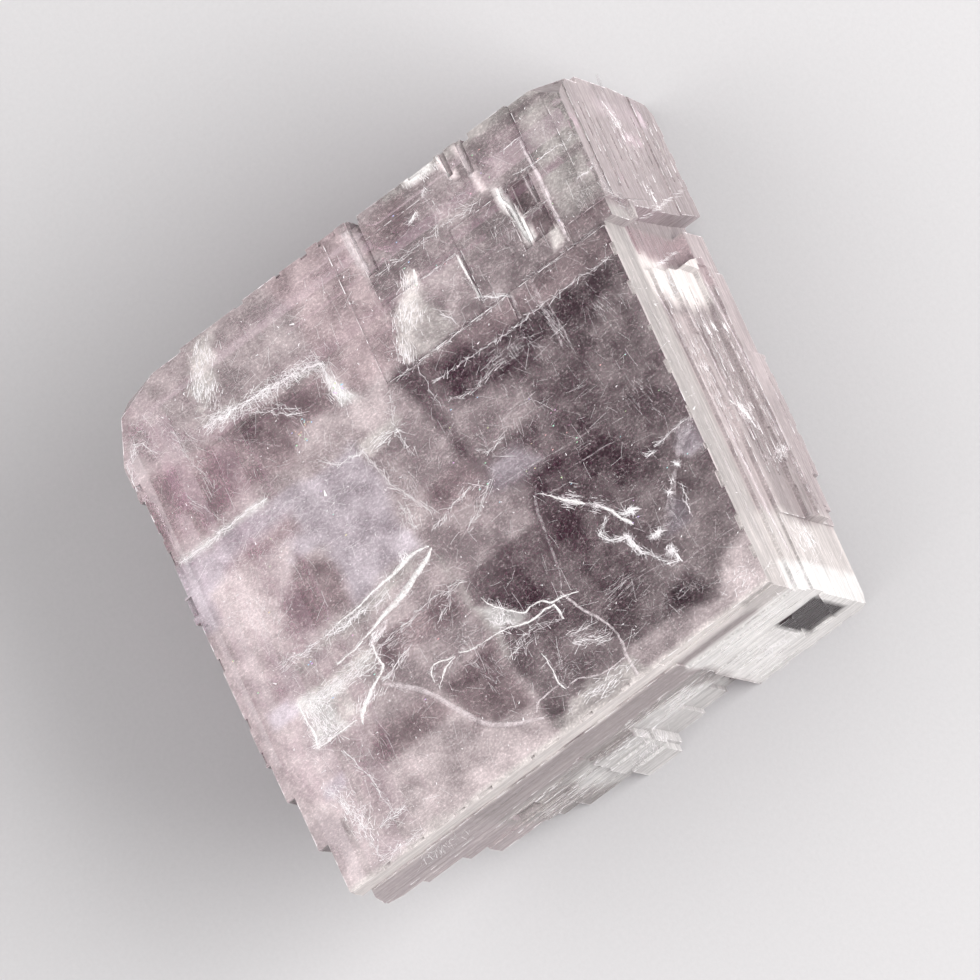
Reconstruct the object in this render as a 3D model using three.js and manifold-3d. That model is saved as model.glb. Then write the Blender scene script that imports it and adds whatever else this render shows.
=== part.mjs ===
// A cleavage rhombohedron of lilac calcite, in millimetres with +Z up.
//
// Calcite splits along three families of planes, so every face, ledge and slit of this crystal
// runs along the same three edge directions. The model is built the same way: in the crystal's
// own slanted axes (u, v, w) it is a plain block from which slabs have split away, and one
// matrix turns those axes into space.
//
//   u  runs inwards from the east face, along the long lower edge of the top face
//   v  runs inwards from the south face, along the right edge of the top face
//   w  runs down from the top face, through the crystal's thickness
//
// u = v = w = 0 is the blunt corner, where three obtuse face angles meet. The crystal lies on
// its bottom face. The origin is the middle of its box, at the level it rests on.

import * as THREE from 'three';
import { mergeVertices } from 'three/addons/utils/BufferGeometryUtils.js';
import Module from 'manifold-3d';

// ---------------------------------------------------------------- driving dimensions

const FACE_ANGLE = 101.9;      // degrees, the obtuse angle of a calcite cleavage face
const LENGTH = 84.9;           // along u
const WIDTH = 84.6;            // along v
const THICKNESS = 48;          // along w
const BULGE = 1.1;             // how far the bruised lump stands out of the south face
const TIP_LAYER = 5.5;         // w where the first lamella ends
const LEDGE_LAYER = 21;        // w where the smooth ledge on the south face ends
const LOWER_LAYER = 37.5;      // w where the outermost lamella of the east face begins
const RECESS = 3.0;            // depth of the gap between the two long blocks of the east face
const FAR = 12;                // how far a cutting block reaches outside the crystal
const BEYOND = 100;            // a u or v past the far faces, where a cutting block may end
const BELOW = 60;              // a w past the bottom face, where a cutting block may end
const BREAK_SIZE = 60;         // side of the block that stands for the space past a break
const WEST_TIP_REACH = 15;     // how far the broken west tip runs in from the south face
const WINDOW_DEPTH = 0.4;      // how deep the clear window lies in the corner block
const FLAKE_OVERLAP = 2;       // how far a flake's cut passes the edge that it chips
const WELD = 1e-5;             // points closer than this are one point
const SEED = 7;                // start of the number series that scatters the fine ridges

const LILAC = '#b59ea4';

const wasm = await Module();
wasm.setup();

// ---------------------------------------------------------------- the crystal's own axes

const cosine = Math.cos(THREE.MathUtils.degToRad(FACE_ANGLE));
const sine = Math.sin(THREE.MathUtils.degToRad(FACE_ANGLE));
const axisU = new THREE.Vector3(-1, 0, 0);
const axisV = new THREE.Vector3(-cosine, sine, 0);
const downY = (cosine - cosine * cosine) / sine;
const downZ = -Math.sqrt(1 - cosine * cosine - downY * downY);
const axisW = new THREE.Vector3(-cosine, downY, downZ);
const crystalAxes = new THREE.Matrix4().makeBasis(axisU, axisV, axisW);

// A repeatable series of numbers between 0 and 1: each is the last one times a multiplier, and
// what is left of it after dividing by a large prime.
const MULTIPLIER = 16807;
const PRIME = 2147483647;
let series = SEED;
function scatter() {
  series = (series * MULTIPLIER) % PRIME;
  return series / PRIME;
}

function between(low, high) {
  return low + (high - low) * scatter();
}

// ---------------------------------------------------------------- solids

// Turns a closed three.js geometry into a solid that can be cut.
function solidOf(geometry) {
  const bare = geometry.clone();
  bare.deleteAttribute('normal');
  bare.deleteAttribute('uv');
  const merged = mergeVertices(bare, WELD);
  const mesh = new wasm.Mesh({
    numProp: 3,
    vertProperties: new Float32Array(merged.attributes.position.array),
    triVerts: new Uint32Array(merged.index.array),
  });
  return new wasm.Manifold(mesh);
}

// Turns a solid back into a flat-shaded three.js geometry.
function geometryOf(solid) {
  const mesh = solid.getMesh();
  const geometry = new THREE.BufferGeometry();
  geometry.setAttribute('position', new THREE.BufferAttribute(mesh.vertProperties, 3));
  geometry.setIndex(new THREE.BufferAttribute(mesh.triVerts, 1));
  return geometry;
}

// A block between two values on each crystal axis.
function block([u0, u1], [v0, v1], [w0, w1]) {
  const box = new THREE.BoxGeometry(u1 - u0, v1 - v0, w1 - w0);
  box.translate((u0 + u1) / 2, (v0 + v1) / 2, (w0 + w1) / 2);
  box.applyMatrix4(crystalAxes);
  return solidOf(box);
}

// A prism on an outline drawn on one face, cut in to a depth below that face. The outline's
// points are (v, w) on the east face, (w, u) on the south face and (u, v) on the top face,
// so that the three crystal axes always follow each other in the same order.
function prism(face, outline, depth) {
  const shape = new THREE.Shape(outline.map(([x, y]) => new THREE.Vector2(x, y)));
  const extruded = new THREE.ExtrudeGeometry(shape, { depth: depth + FAR, bevelEnabled: false });
  extruded.translate(0, 0, -FAR);
  const turns = { east: [1, 2, 0], south: [2, 0, 1], top: [0, 1, 2] };
  const columns = turns[face].map((axis) => new THREE.Vector3().setComponent(axis, 1));
  extruded.applyMatrix4(new THREE.Matrix4().makeBasis(...columns));
  extruded.applyMatrix4(crystalAxes);
  return solidOf(extruded);
}

// The space outside a plane that breaks obliquely through the crystal. The plane passes through
// a place given on the crystal axes, and its outward normal is given in space.
function outsideOfBreak(place, outward) {
  const box = new THREE.BoxGeometry(BREAK_SIZE, BREAK_SIZE, BREAK_SIZE);
  box.translate(0, 0, BREAK_SIZE / 2);
  const turn = new THREE.Quaternion().setFromUnitVectors(
    new THREE.Vector3(0, 0, 1),
    new THREE.Vector3(...outward).normalize(),
  );
  box.applyQuaternion(turn);
  const point = new THREE.Vector3(...place).applyMatrix4(crystalAxes);
  box.translate(point.x, point.y, point.z);
  return solidOf(box);
}

// ---------------------------------------------------------------- slabs that have split away

// East face: each entry is a range of v, a range of w and how deep the slab went.
const eastSlabs = [
  { what: 'upper lamella, set back below the top face', v: [-FAR, 60.2], w: [-FAR, 13], depth: 2.5 },
  { what: 'its short step', v: [60, 63], w: [-FAR, 10], depth: 0.9 },
  { what: 'top of the northern block', v: [63, BEYOND], w: [-FAR, 4.5], depth: 0.5 },
  { what: 'second lamella', v: [-FAR, 54], w: [13, 20], depth: 1.9 },
  { what: 'second lamella, broken part', v: [31, 43], w: [19, 23], depth: 1.6 },
  { what: 'third lamella', v: [-FAR, 54], w: [20, 33], depth: 1.2 },
  { what: 'third lamella, broken part', v: [22, 28], w: [26, 34.5], depth: 0.9 },
  { what: 'fourth lamella', v: [13, 55], w: [33, LOWER_LAYER], depth: 0.45 },
  { what: 'upper part of the northern block', v: [63, BEYOND], w: [4.5, LOWER_LAYER], depth: 0.3 },
  { what: 'corner block', v: [-FAR, 13], w: [13, BELOW], depth: 1.5 },
  { what: 'lower lamella, chipped by the corner block', v: [12, 15.2], w: [42, BELOW], depth: 1.2 },
  { what: 'lower lamella, chipped', v: [15, 20.8], w: [44, BELOW], depth: 0.7 },
  { what: 'lower lamella, northern part', v: [41, 57], w: [40, BELOW], depth: 0.7 },
  { what: 'lower lamella, thinner part', v: [55, 62], w: [LOWER_LAYER, BELOW], depth: 1.1 },
  { what: 'slit in the lower lamella', v: [51.5, 56.5], w: [38.5, 39.6], depth: 2.4 },
  { what: 'long slit in the lower lamella', v: [26, 38], w: [44.4, 44.9], depth: 0.9 },
  { what: 'short slit in the lower lamella', v: [20, 26], w: [45.4, 45.9], depth: 0.8 },
  { what: 'slit by the corner block', v: [15, 23], w: [38.6, 39.2], depth: 0.9 },
  { what: 'slit behind the upper lamella', v: [56.4, 61.5], w: [14, 15.6], depth: 4.8 },
];

// The gap between the two long blocks ends on slanting breaks, drawn as (v, w).
const eastGap = [
  [53.2, 11], [60, 11], [62.3, 12], [63.6, LOWER_LAYER], [65.4, BELOW], [62, BELOW], [61.4, LOWER_LAYER],
  [56.4, LOWER_LAYER], [55.2, 30], [53.6, 24],
];

// The small tip at the west end of the ledge has a slanting, broken end, drawn as (w, u).
const westTip = [
  [TIP_LAYER, 78.9], [10, 80.2], [19.6, 81.5], [LEDGE_LAYER, 79.6], [26, BEYOND], [-FAR, BEYOND],
  [-FAR, 83], [TIP_LAYER, 82],
];

// South face: each entry is a range of u, a range of w and how deep the slab went.
const southSlabs = [
  { what: 'thin upper band', u: [-FAR, BEYOND], w: [-FAR, TIP_LAYER], depth: 0.25 },
  { what: 'small upper patch', u: [-FAR, 23], w: [-FAR, 2.5], depth: 0.5 },
  { what: 'below the ledge, west', u: [45, BEYOND], w: [LEDGE_LAYER, 30], depth: 0.5 },
  { what: 'dark pocket below the ledge', u: [55.5, 60], w: [23.5, 29], depth: 1.6 },
  { what: 'below the ledge, second step', u: [45, BEYOND], w: [30, 38], depth: 0.25 },
  { what: 'lower west block', u: [45, 54.4], w: [38, BELOW], depth: 0.75 },
  { what: 'lower west block, next step', u: [54.2, 58.6], w: [38, BELOW], depth: 1.9 },
  { what: 'lower west block, last step', u: [58.4, 70], w: [36, BELOW], depth: 3.0 },
  { what: 'missing lower west end', u: [66.5, BEYOND], w: [29, BELOW], depth: 8.5 },
  { what: 'missing lower west end, inner step', u: [69.5, BEYOND], w: [25, BELOW], depth: 5.0 },
  { what: 'missing lower west end, outer step', u: [75.8, BEYOND], w: [22, BELOW], depth: 11 },
  { what: 'below the ledge, middle', u: [22, 45], w: [16, 24], depth: 0.7 },
  { what: 'striped hollow', u: [22, 37.5], w: [24, 34], depth: 1.25 },
  { what: 'striped hollow, west part', u: [31.5, 37], w: [34, BELOW], depth: 1.5 },
  { what: 'striped hollow, middle part', u: [27, 31.8], w: [34, BELOW], depth: 2.2 },
  { what: 'striped hollow, by the corner block', u: [22, 27.2], w: [34, BELOW], depth: 2.9 },
  { what: 'top of the corner block', u: [-FAR, 22], w: [2, 12], depth: 0.3 },
  { what: 'slit over the corner block', u: [4, 20.5], w: [20.4, 21], depth: 0.7 },
];

// The clear window in the corner block is a shallow slanting pane, drawn as (w, u).
const clearWindow = [[24.5, 2.2], [41.6, 5.6], [41, 10.8], [24.5, 7.4]];

// The lump on the south face is what is left between slabs on both sides of it, drawn as
// (w, u) in layers that stand out further and further.
const lumpLayers = [
  { top: 17, west: 50, east: 30, out: -0.35 },
  { top: 25, west: 48.6, east: 34.5, out: 0.1 },
  { top: 33, west: 46.2, east: 36, out: 0.55 },
  { top: 40, west: 43.8, east: 37.6, out: BULGE },
];

// Top face: each entry is a range of u, a range of v and how deep the slab went.
const topSlabs = [
  { what: 'northern terrace', u: [3, 43], v: [59.6, BEYOND], depth: 0.45 },
  { what: 'northern terrace, east end', u: [-FAR, 3.4], v: [62.8, BEYOND], depth: 0.3 },
  { what: 'dark terrace by the east edge', u: [-FAR, 8.2], v: [59.4, 62.9], depth: 0.9 },
  { what: 'second terrace', u: [8.4, 25], v: [72.8, BEYOND], depth: 0.75 },
  { what: 'third terrace', u: [24.4, 38.8], v: [69.6, 79.5], depth: 0.7 },
  { what: 'dark rhomb', u: [9.8, 13.2], v: [68.2, 72.9], depth: 1.3 },
  { what: 'lower dark rhomb', u: [9.6, 13.4], v: [63.6, 67.6], depth: 1.1 },
  { what: 'channel west of the dark rhombs', u: [13.8, 15.2], v: [63.4, 74], depth: 1.0 },
  { what: 'narrow notch in the north edge', u: [17.2, 18.4], v: [78, BEYOND], depth: 1.4 },
  { what: 'next notch in the north edge', u: [20.4, 21.4], v: [79.6, BEYOND], depth: 1.6 },
  { what: 'wide notch in the north edge', u: [36.8, 38.8], v: [74.6, BEYOND], depth: 1.2 },
  { what: 'groove at the end of the terrace', u: [24.2, 24.8], v: [61.6, 69.8], depth: 0.8 },
  { what: 'groove north of the clear part', u: [20, 20.7], v: [56, 60], depth: 0.4 },
];

// West side: how far each length of the rim reaches, as a range of v, its u and its lowest w.
const westRim = [
  { v: [-FAR, 8.4], u: 80.6, down: 8 },
  { v: [8.2, 17.2], u: 82.3, down: 26 },
  { v: [17, 23.4], u: 83.6, down: 12 },
  { v: [23.2, 47.4], u: 84.2, down: 18 },
  { v: [51.6, 67.4], u: 84.2, down: 9 },
  { v: [76.8, BEYOND], u: 84.5, down: 14 },
];

// North side: how far each length of the rim reaches, as a range of u, its v and its lowest w.
const northRim = [
  { u: [-FAR, 1.6], v: 82.3, down: 5 },
  { u: [-FAR, 9], v: 82.9, down: 12.5 },
  { u: [-FAR, 5], v: 83.9, down: 28 },
  { u: [1.4, 16.2], v: 83.4, down: 11 },
  { u: [16, 17.6], v: 82.6, down: 11 },
  { u: [17.4, 22.4], v: 83.5, down: 9 },
  { u: [22.2, 36.8], v: 83.2, down: 13 },
  { u: [36.6, 38.4], v: 82.2, down: 19 },
  { u: [38.2, 46], v: 83.6, down: 10 },
  { u: [45.8, 58.2], v: 83.2, down: 31 },
  { u: [58, 69.8], v: 82.9, down: 16 },
  { u: [69.6, BEYOND], v: 82.4, down: 24 },
];

// The two undersides lean inwards. Each lamella there ends in its own place: the first w of
// each layer and how far it is set back from the rim.
const westLayers = [
  { from: TIP_LAYER, v: [14, BEYOND], back: 1.3 },
  { from: 12.5, v: [30, 66], back: 2.6 },
  { from: LEDGE_LAYER, v: [-FAR, 40], back: 5.4 },
  { from: LEDGE_LAYER, v: [39.6, BEYOND], back: 3.6 },
  { from: 29, v: [52, BEYOND], back: 2.2 },
  { from: 34, v: [-FAR, 24], back: 8.6 },
  { from: 38, v: [23.6, 78], back: 6.2 },
];

const northLayers = [
  { from: 10.5, u: [20, 52], back: 1.6 },
  { from: 15, u: [40, BEYOND], back: 2.9 },
  { from: 20, u: [-FAR, 7], back: 0.6 },
  { from: 24, u: [7.2, 60], back: 3.2 },
  { from: 31, u: [-FAR, 9], back: 0.3 },
  { from: 35, u: [13, 34], back: 4.4 },
  { from: 41, u: [30, BEYOND], back: 5.1 },
];

// Oblique breaks: a place on the crystal axes and the outward normal of the broken surface.
const breaks = [
  { what: 'north-west corner, top', place: [82.6, 78.6, 0], outward: [-0.95, 0.62, -0.25] },
  { what: 'north-west corner, side', place: [78.6, 82, 2], outward: [-0.32, 0.95, 0.12] },
  { what: 'north-east edge, top', place: [0.6, 82.3, 5], outward: [0.6, 0.7, 0.38] },
  { what: 'north-east edge, middle', place: [0.2, 83.9, 30], outward: [0.75, 0.66, -0.06] },
  { what: 'north-east corner, bottom', place: [0.5, 81.8, 48], outward: [0.88, 0.4, -0.3] },
  { what: 'south-west tip', place: [80.4, 0.4, 0], outward: [-0.6, -0.8, 0.2] },
  { what: 'south-east corner, bottom', place: [2.6, 0.3, 48], outward: [0.72, -0.66, -0.4] },
  { what: 'blunt corner', place: [2.7, 0.4, 0], outward: [0.5, -0.45, 0.95] },
];

function eastCut(slab) {
  return block([-FAR, slab.depth], slab.v, slab.w);
}

function southCut(slab) {
  return block(slab.u, [-FAR, slab.depth], slab.w);
}

function topCut(slab) {
  return block(slab.u, slab.v, [-FAR, slab.depth]);
}

function westRimCut(part) {
  return block([part.u, BEYOND], part.v, [-FAR, part.down]);
}

function northRimCut(part) {
  return block(part.u, [part.v, BEYOND], [-FAR, part.down]);
}

function westLayerCut(layer) {
  return block([LENGTH - layer.back, BEYOND], layer.v, [layer.from, BELOW]);
}

function northLayerCut(layer) {
  return block(layer.u, [WIDTH - layer.back, BEYOND], [layer.from, BELOW]);
}

// ---------------------------------------------------------------- fine ridges

// Long thin grooves along v on the east face leave ridges between them.
function eastGrooves() {
  const fields = [
    { v: [14, 52], w: [14, 20], surface: 1.9, count: 4 },
    { v: [14, 52], w: [21, 32.5], surface: 1.2, count: 9 },
    { v: [15, 52], w: [33.5, 37], surface: 0.45, count: 3 },
    { v: [64.5, 80], w: [6, 36.5], surface: 0.3, count: 9 },
    { v: [66, 80], w: [38.5, 46.5], surface: 0, count: 3 },
  ];
  const grooves = [];
  for (const field of fields) {
    const pitch = (field.w[1] - field.w[0]) / field.count;
    for (let i = 0; i < field.count; i += 1) {
      const w = field.w[0] + pitch * (i + between(0.1, 0.6));
      const reach = field.v[1] - field.v[0];
      const start = field.v[0] + reach * between(0, 0.45);
      const end = field.v[1] - reach * between(0, 0.35);
      const wide = between(0.35, 0.9);
      const depth = field.surface + between(0.12, 0.4);
      grooves.push(block([-FAR, depth], [start, end], [w, w + wide]));
    }
  }
  return grooves;
}

// Long thin grooves along u on the south face, below the smooth ledge.
function southGrooves() {
  const fields = [
    { u: [23.5, 44], w: [16.6, 23.5], surface: 0.7, count: 5 },
    { u: [23.5, 36.5], w: [24.6, 33.4], surface: 1.25, count: 5 },
    { u: [45.5, 64], w: [22, 29.5], surface: 0.5, count: 5 },
    { u: [45.5, 64], w: [30.5, 37.5], surface: 0.25, count: 5 },
    { u: [45.5, 53.5], w: [39, 47], surface: 0.75, count: 4 },
    { u: [23.5, 26.5], w: [38, 46.5], surface: 2.9, count: 3 },
    { u: [5, 20], w: [13, 20], surface: 0, count: 3 },
    { u: [13, 21], w: [22, 46], surface: 0, count: 8 },
  ];
  const grooves = [];
  for (const field of fields) {
    const pitch = (field.w[1] - field.w[0]) / field.count;
    for (let i = 0; i < field.count; i += 1) {
      const w = field.w[0] + pitch * (i + between(0.1, 0.6));
      const reach = field.u[1] - field.u[0];
      const start = field.u[0] + reach * between(0, 0.4);
      const end = field.u[1] - reach * between(0, 0.4);
      const wide = between(0.35, 0.8);
      const depth = field.surface + between(0.15, 0.45);
      grooves.push(block([start, end], [-FAR, depth], [w, w + wide]));
    }
  }
  return grooves;
}

// Small slivers flaked off along the long edges. Each edge says which axis it runs along and
// where it lies on the other two. A lower edge loses its slivers from below.
function edgeFlakes() {
  const edges = [
    { along: 'v', from: 2, to: 58, across: [2.5, 0], count: 9 },
    { along: 'v', from: 64, to: 81, across: [0.5, 0.3], count: 5 },
    { along: 'v', from: 15, to: 51, across: [0.45, 33], count: 8 },
    { along: 'v', from: 16, to: 40, across: [0, THICKNESS], count: 7, lower: true },
    { along: 'v', from: 66, to: 82, across: [0, THICKNESS], count: 4, lower: true },
    { along: 'u', from: 26, to: 78, across: [0.25, 0], count: 8 },
    { along: 'u', from: 46, to: 76, across: [0, LEDGE_LAYER], count: 7, lower: true },
    { along: 'u', from: 4, to: 20, across: [0, THICKNESS], count: 6, lower: true },
    { along: 'u', from: 6, to: 66, across: [83.2, 0], count: 11, far: true },
    { along: 'v', from: 6, to: 76, across: [84.2, 0], count: 9, far: true },
  ];
  const flakes = [];
  for (const edge of edges) {
    const pitch = (edge.to - edge.from) / edge.count;
    for (let i = 0; i < edge.count; i += 1) {
      const start = edge.from + pitch * (i + between(0, 0.5));
      const run = [start, start + between(0.8, 3.2)];
      const side = edge.across[0];
      const reach = between(0.25, 0.6);
      const sideways = edge.far ? [side - reach, BEYOND] : [-FAR, side + reach];
      const level = edge.across[1];
      const height = between(0.3, 0.9);
      const downwards = edge.lower ? [level - height, level + FLAKE_OVERLAP] : [-FAR, level + height];
      flakes.push(edge.along === 'v' ? block(sideways, run, downwards) : block(run, sideways, downwards));
    }
  }
  return flakes;
}

// ---------------------------------------------------------------- the crystal

// The outermost plane of the south face is the top of the lump: everywhere else it is cut
// back to v = 0, in pieces around the lump's stepped outline.
function aroundTheLump() {
  const pieces = [];
  let above = -FAR;
  let previous = null;
  for (const layer of lumpLayers) {
    if (previous) {
      pieces.push(block([previous.west, BEYOND], [-FAR, 0], [above, layer.top]));
      pieces.push(block([-FAR, previous.east], [-FAR, 0], [above, layer.top]));
      pieces.push(block([-FAR, BEYOND], [-FAR, -previous.out], [above, layer.top]));
    } else {
      pieces.push(block([-FAR, BEYOND], [-FAR, 0], [above, layer.top]));
    }
    above = layer.top;
    previous = layer;
  }
  pieces.push(block([previous.west, BEYOND], [-FAR, 0], [above, BELOW]));
  pieces.push(block([-FAR, previous.east], [-FAR, 0], [above, BELOW]));
  return pieces;
}

function crystalSolid() {
  const blank = block([0, LENGTH], [-BULGE, WIDTH], [0, THICKNESS]);
  const cuts = [
    ...aroundTheLump(),
    ...eastSlabs.map(eastCut),
    prism('east', eastGap, RECESS),
    ...southSlabs.map(southCut),
    prism('south', clearWindow, WINDOW_DEPTH),
    prism('south', westTip, WEST_TIP_REACH),
    ...topSlabs.map(topCut),
    ...westRim.map(westRimCut),
    ...northRim.map(northRimCut),
    ...westLayers.map(westLayerCut),
    ...northLayers.map(northLayerCut),
    ...breaks.map((cut) => outsideOfBreak(cut.place, cut.outward)),
    ...eastGrooves(),
    ...southGrooves(),
    ...edgeFlakes(),
  ];
  return wasm.Manifold.difference([blank, ...cuts]);
}

const geometry = geometryOf(crystalSolid());
geometry.computeBoundingBox();
const { min, max } = geometry.boundingBox;
geometry.translate(-(min.x + max.x) / 2, -(min.y + max.y) / 2, -min.z);
geometry.computeVertexNormals();

const material = new THREE.MeshStandardMaterial({ color: LILAC, roughness: 0.08, metalness: 0 });
const crystal = new THREE.Mesh(geometry, material);
crystal.name = 'calcite_crystal';

const group = new THREE.Group();
group.add(crystal);

export default group;
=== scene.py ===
# %% [markdown]
# # A lilac calcite cleavage rhomb
# The real thing is one crystal, split by hand along the planes where calcite is weak. It is
# clear inside, so its looks come from four things: the steps where lamellae broke off, the
# lilac tint that deepens with thickness, the scuffed and bruised skin, and the white veils and
# cracks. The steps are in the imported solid. The rest gets its own cells below.

import math
import random

import bmesh
import bpy
from mathutils import Matrix, Vector, noise
from mathutils.bvhtree import BVHTree


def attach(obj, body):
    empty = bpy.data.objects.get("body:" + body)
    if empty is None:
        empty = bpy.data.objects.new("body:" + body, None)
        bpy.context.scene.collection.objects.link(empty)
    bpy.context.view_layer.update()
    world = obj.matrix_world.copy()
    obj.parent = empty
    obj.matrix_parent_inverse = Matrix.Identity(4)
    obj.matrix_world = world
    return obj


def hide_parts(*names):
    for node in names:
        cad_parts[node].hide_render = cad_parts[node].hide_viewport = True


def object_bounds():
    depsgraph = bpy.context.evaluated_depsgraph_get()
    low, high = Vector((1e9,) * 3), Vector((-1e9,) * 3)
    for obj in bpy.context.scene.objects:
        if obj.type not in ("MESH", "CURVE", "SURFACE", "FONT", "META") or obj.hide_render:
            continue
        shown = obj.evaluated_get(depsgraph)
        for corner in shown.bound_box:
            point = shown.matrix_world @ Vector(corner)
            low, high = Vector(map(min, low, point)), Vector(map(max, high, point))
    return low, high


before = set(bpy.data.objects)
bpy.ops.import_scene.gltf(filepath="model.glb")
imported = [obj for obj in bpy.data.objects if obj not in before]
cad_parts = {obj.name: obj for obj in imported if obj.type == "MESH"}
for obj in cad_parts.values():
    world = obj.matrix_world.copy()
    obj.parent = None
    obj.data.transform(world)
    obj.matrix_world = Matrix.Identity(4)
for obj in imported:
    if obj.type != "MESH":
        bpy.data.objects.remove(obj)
cad_low, cad_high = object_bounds()
print("CAD box", tuple(cad_low), tuple(cad_high))

# %% [markdown]
# ## One seed for all
# Scratches and frayed borders look natural only when chance places them, and yet every run has
# to give the same crystal. Python's generator and Blender's noise each get a fixed seed here.
# Left to itself, Blender's noise would start anew from the clock.

# %% Seeds
SEED = 11
chance = random.Random(SEED)
noise.seed_set(SEED)
print("the noise at (1, 2, 3) is", tuple(round(part, 3) for part in noise.noise_vector((1, 2, 3))))

# %% [markdown]
# ## The crystal's own axes
# Calcite's faces are not square to each other, so millimetres along X, Y and Z are awkward.
# Three slanted axes suit it: u runs in from the east side, v in from the south side and w down
# from the top face. All three start at the blunt corner. The same matrix, turned round, tells
# a material how deep any point lies below each face.

# %% Crystal axes
MM = 0.001
FACE_ANGLE = math.radians(101.9)   # between any two edges that meet at the blunt corner
CORNER_TO_EAST = 26.571            # mm from the blunt corner to the box's east side
CORNER_TO_SOUTH = 13.278           # mm from the blunt corner to the box's south side

cosine, sine = math.cos(FACE_ANGLE), math.sin(FACE_ANGLE)
axis_u = Vector((-1, 0, 0))
axis_v = Vector((-cosine, sine, 0))
down_y = (cosine - cosine * cosine) / sine
axis_w = Vector((-cosine, down_y, -math.sqrt(1 - cosine * cosine - down_y * down_y)))
to_space = Matrix((axis_u, axis_v, axis_w)).transposed()
to_crystal = to_space.inverted()
corner = Vector((cad_high.x - CORNER_TO_EAST * MM, cad_low.y + CORNER_TO_SOUTH * MM, cad_high.z))


def on_top(x, y, height=0.0):
    """The place of a point east and north of the blunt corner, a height above the top face."""
    return corner + Vector((x, y, height)) * MM


print("blunt corner", tuple(corner), "thickness", cad_high.z / -axis_w.z / MM, "mm along w")

# %% [markdown]
# ## Colour and node helpers
# Colours are written as the hex values that a picture editor shows. Blender works in linear
# light, so one function turns them. One more function adds a shader node with its settings and
# links, and hands back the socket that the next node needs.

# %% Colour and node helpers
def linear(hex_colour):
    """A linear RGBA colour from an sRGB hex value."""
    channels = [int(hex_colour[i:i + 2], 16) / 255 for i in (1, 3, 5)]
    return [c / 12.92 if c <= 0.04045 else ((c + 0.055) / 1.055) ** 2.4 for c in channels] + [1.0]


def add_node(tree, kind, values=None, out=0, **settings):
    """Adds a node and returns its output socket. Values are numbers, colours or sockets."""
    node = tree.nodes.new(kind)
    for name, setting in settings.items():
        setattr(node, name, setting)
    for key, value in (values or {}).items():
        if isinstance(value, bpy.types.NodeSocket):
            tree.links.new(value, node.inputs[key])
        else:
            node.inputs[key].default_value = value
    return node.outputs[out]


def new_material(name):
    """An empty node material, its node tree and its output node."""
    material = bpy.data.materials.new(name)
    material.use_nodes = True
    material.node_tree.nodes.clear()
    output = material.node_tree.nodes.new("ShaderNodeOutputMaterial")
    return material, material.node_tree, output


print("a mid grey is", round(linear("#808080")[0], 3), "in linear light")

# %% [markdown]
# ## The crystal body
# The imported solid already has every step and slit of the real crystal. They could be modelled
# again here, but a copy of the solid can't stray from the shape that everything else uses. The
# solid comes as loose triangles, so the copy is welded and its flat areas are joined again:
# light that goes through a clear body needs a closed skin.

# %% Crystal body
WELD = 0.002 * MM                  # corners closer than this become one
SAME_PLANE = math.radians(0.5)     # faces that turn less than this are joined


def welded_copy(name):
    """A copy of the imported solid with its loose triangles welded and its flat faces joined."""
    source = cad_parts["calcite_crystal"]
    shape = bmesh.new()
    shape.from_mesh(source.data)
    bmesh.ops.remove_doubles(shape, verts=shape.verts, dist=WELD)
    bmesh.ops.dissolve_limit(shape, angle_limit=SAME_PLANE, verts=shape.verts, edges=shape.edges)
    mesh = bpy.data.meshes.new(name)
    shape.to_mesh(mesh)
    shape.free()
    piece = bpy.data.objects.new(name, mesh)
    bpy.context.scene.collection.objects.link(piece)
    return piece


body = welded_copy("crystal_body")
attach(body, "root")
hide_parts("calcite_crystal")
print("crystal body", len(body.data.polygons), "faces")

# %% [markdown]
# ## Where a point lies in the crystal
# The finishes change from layer to layer. They read the object's own coordinates, measured in
# millimetres from the blunt corner, and three dot products turn those into u, v and w. Because
# the patterns live in the object's space, they stay put when the crystal is turned.

# %% Places for materials
def crystal_places(tree):
    """Sockets for a point's place in mm: the plain vector, and its u, v and w."""
    point = add_node(tree, "ShaderNodeTexCoord", out="Object")
    moved = add_node(tree, "ShaderNodeVectorMath", {0: point, 1: corner}, operation="SUBTRACT")
    places = {"mm": add_node(tree, "ShaderNodeVectorMath", {0: moved, 3: 1 / MM}, operation="SCALE")}
    for name, row in zip("uvw", to_crystal):
        places[name] = add_node(
            tree, "ShaderNodeVectorMath", {0: places["mm"], 1: row}, out="Value", operation="DOT_PRODUCT"
        )
    return places


def drawn_out(tree, places, scale_u, scale_v, scale_w):
    """A vector for a pattern with its own number of cells per mm along each crystal axis."""
    scaled = {"X": ("u", scale_u), "Y": ("v", scale_v), "Z": ("w", scale_w)}
    parts = {}
    for axis, (name, scale) in scaled.items():
        parts[axis] = add_node(tree, "ShaderNodeMath", {0: places[name], 1: scale}, operation="MULTIPLY")
    return add_node(tree, "ShaderNodeCombineXYZ", parts)


for name, row in zip("uvw", to_crystal):
    print("a millimetre of", name, "is measured along", tuple(round(part, 3) for part in row))

# %% [markdown]
# ## Clear lilac calcite
# Calcite is clear, so the body is plain glass-like material: full transmission, calcite's
# refractive index and an absorbing tint inside that deepens with thickness. The large cleavage
# face split cleanly and is mirror smooth, so it shows the lights as sharp as water does. The
# sides are made of many broken lamellae, so they are rougher, with fine ridges that follow the
# layers and draw every highlight out into stripes. The body gets one material for the flat
# faces and one for the sides, so that no face pays for a pattern that it doesn't show.

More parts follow.
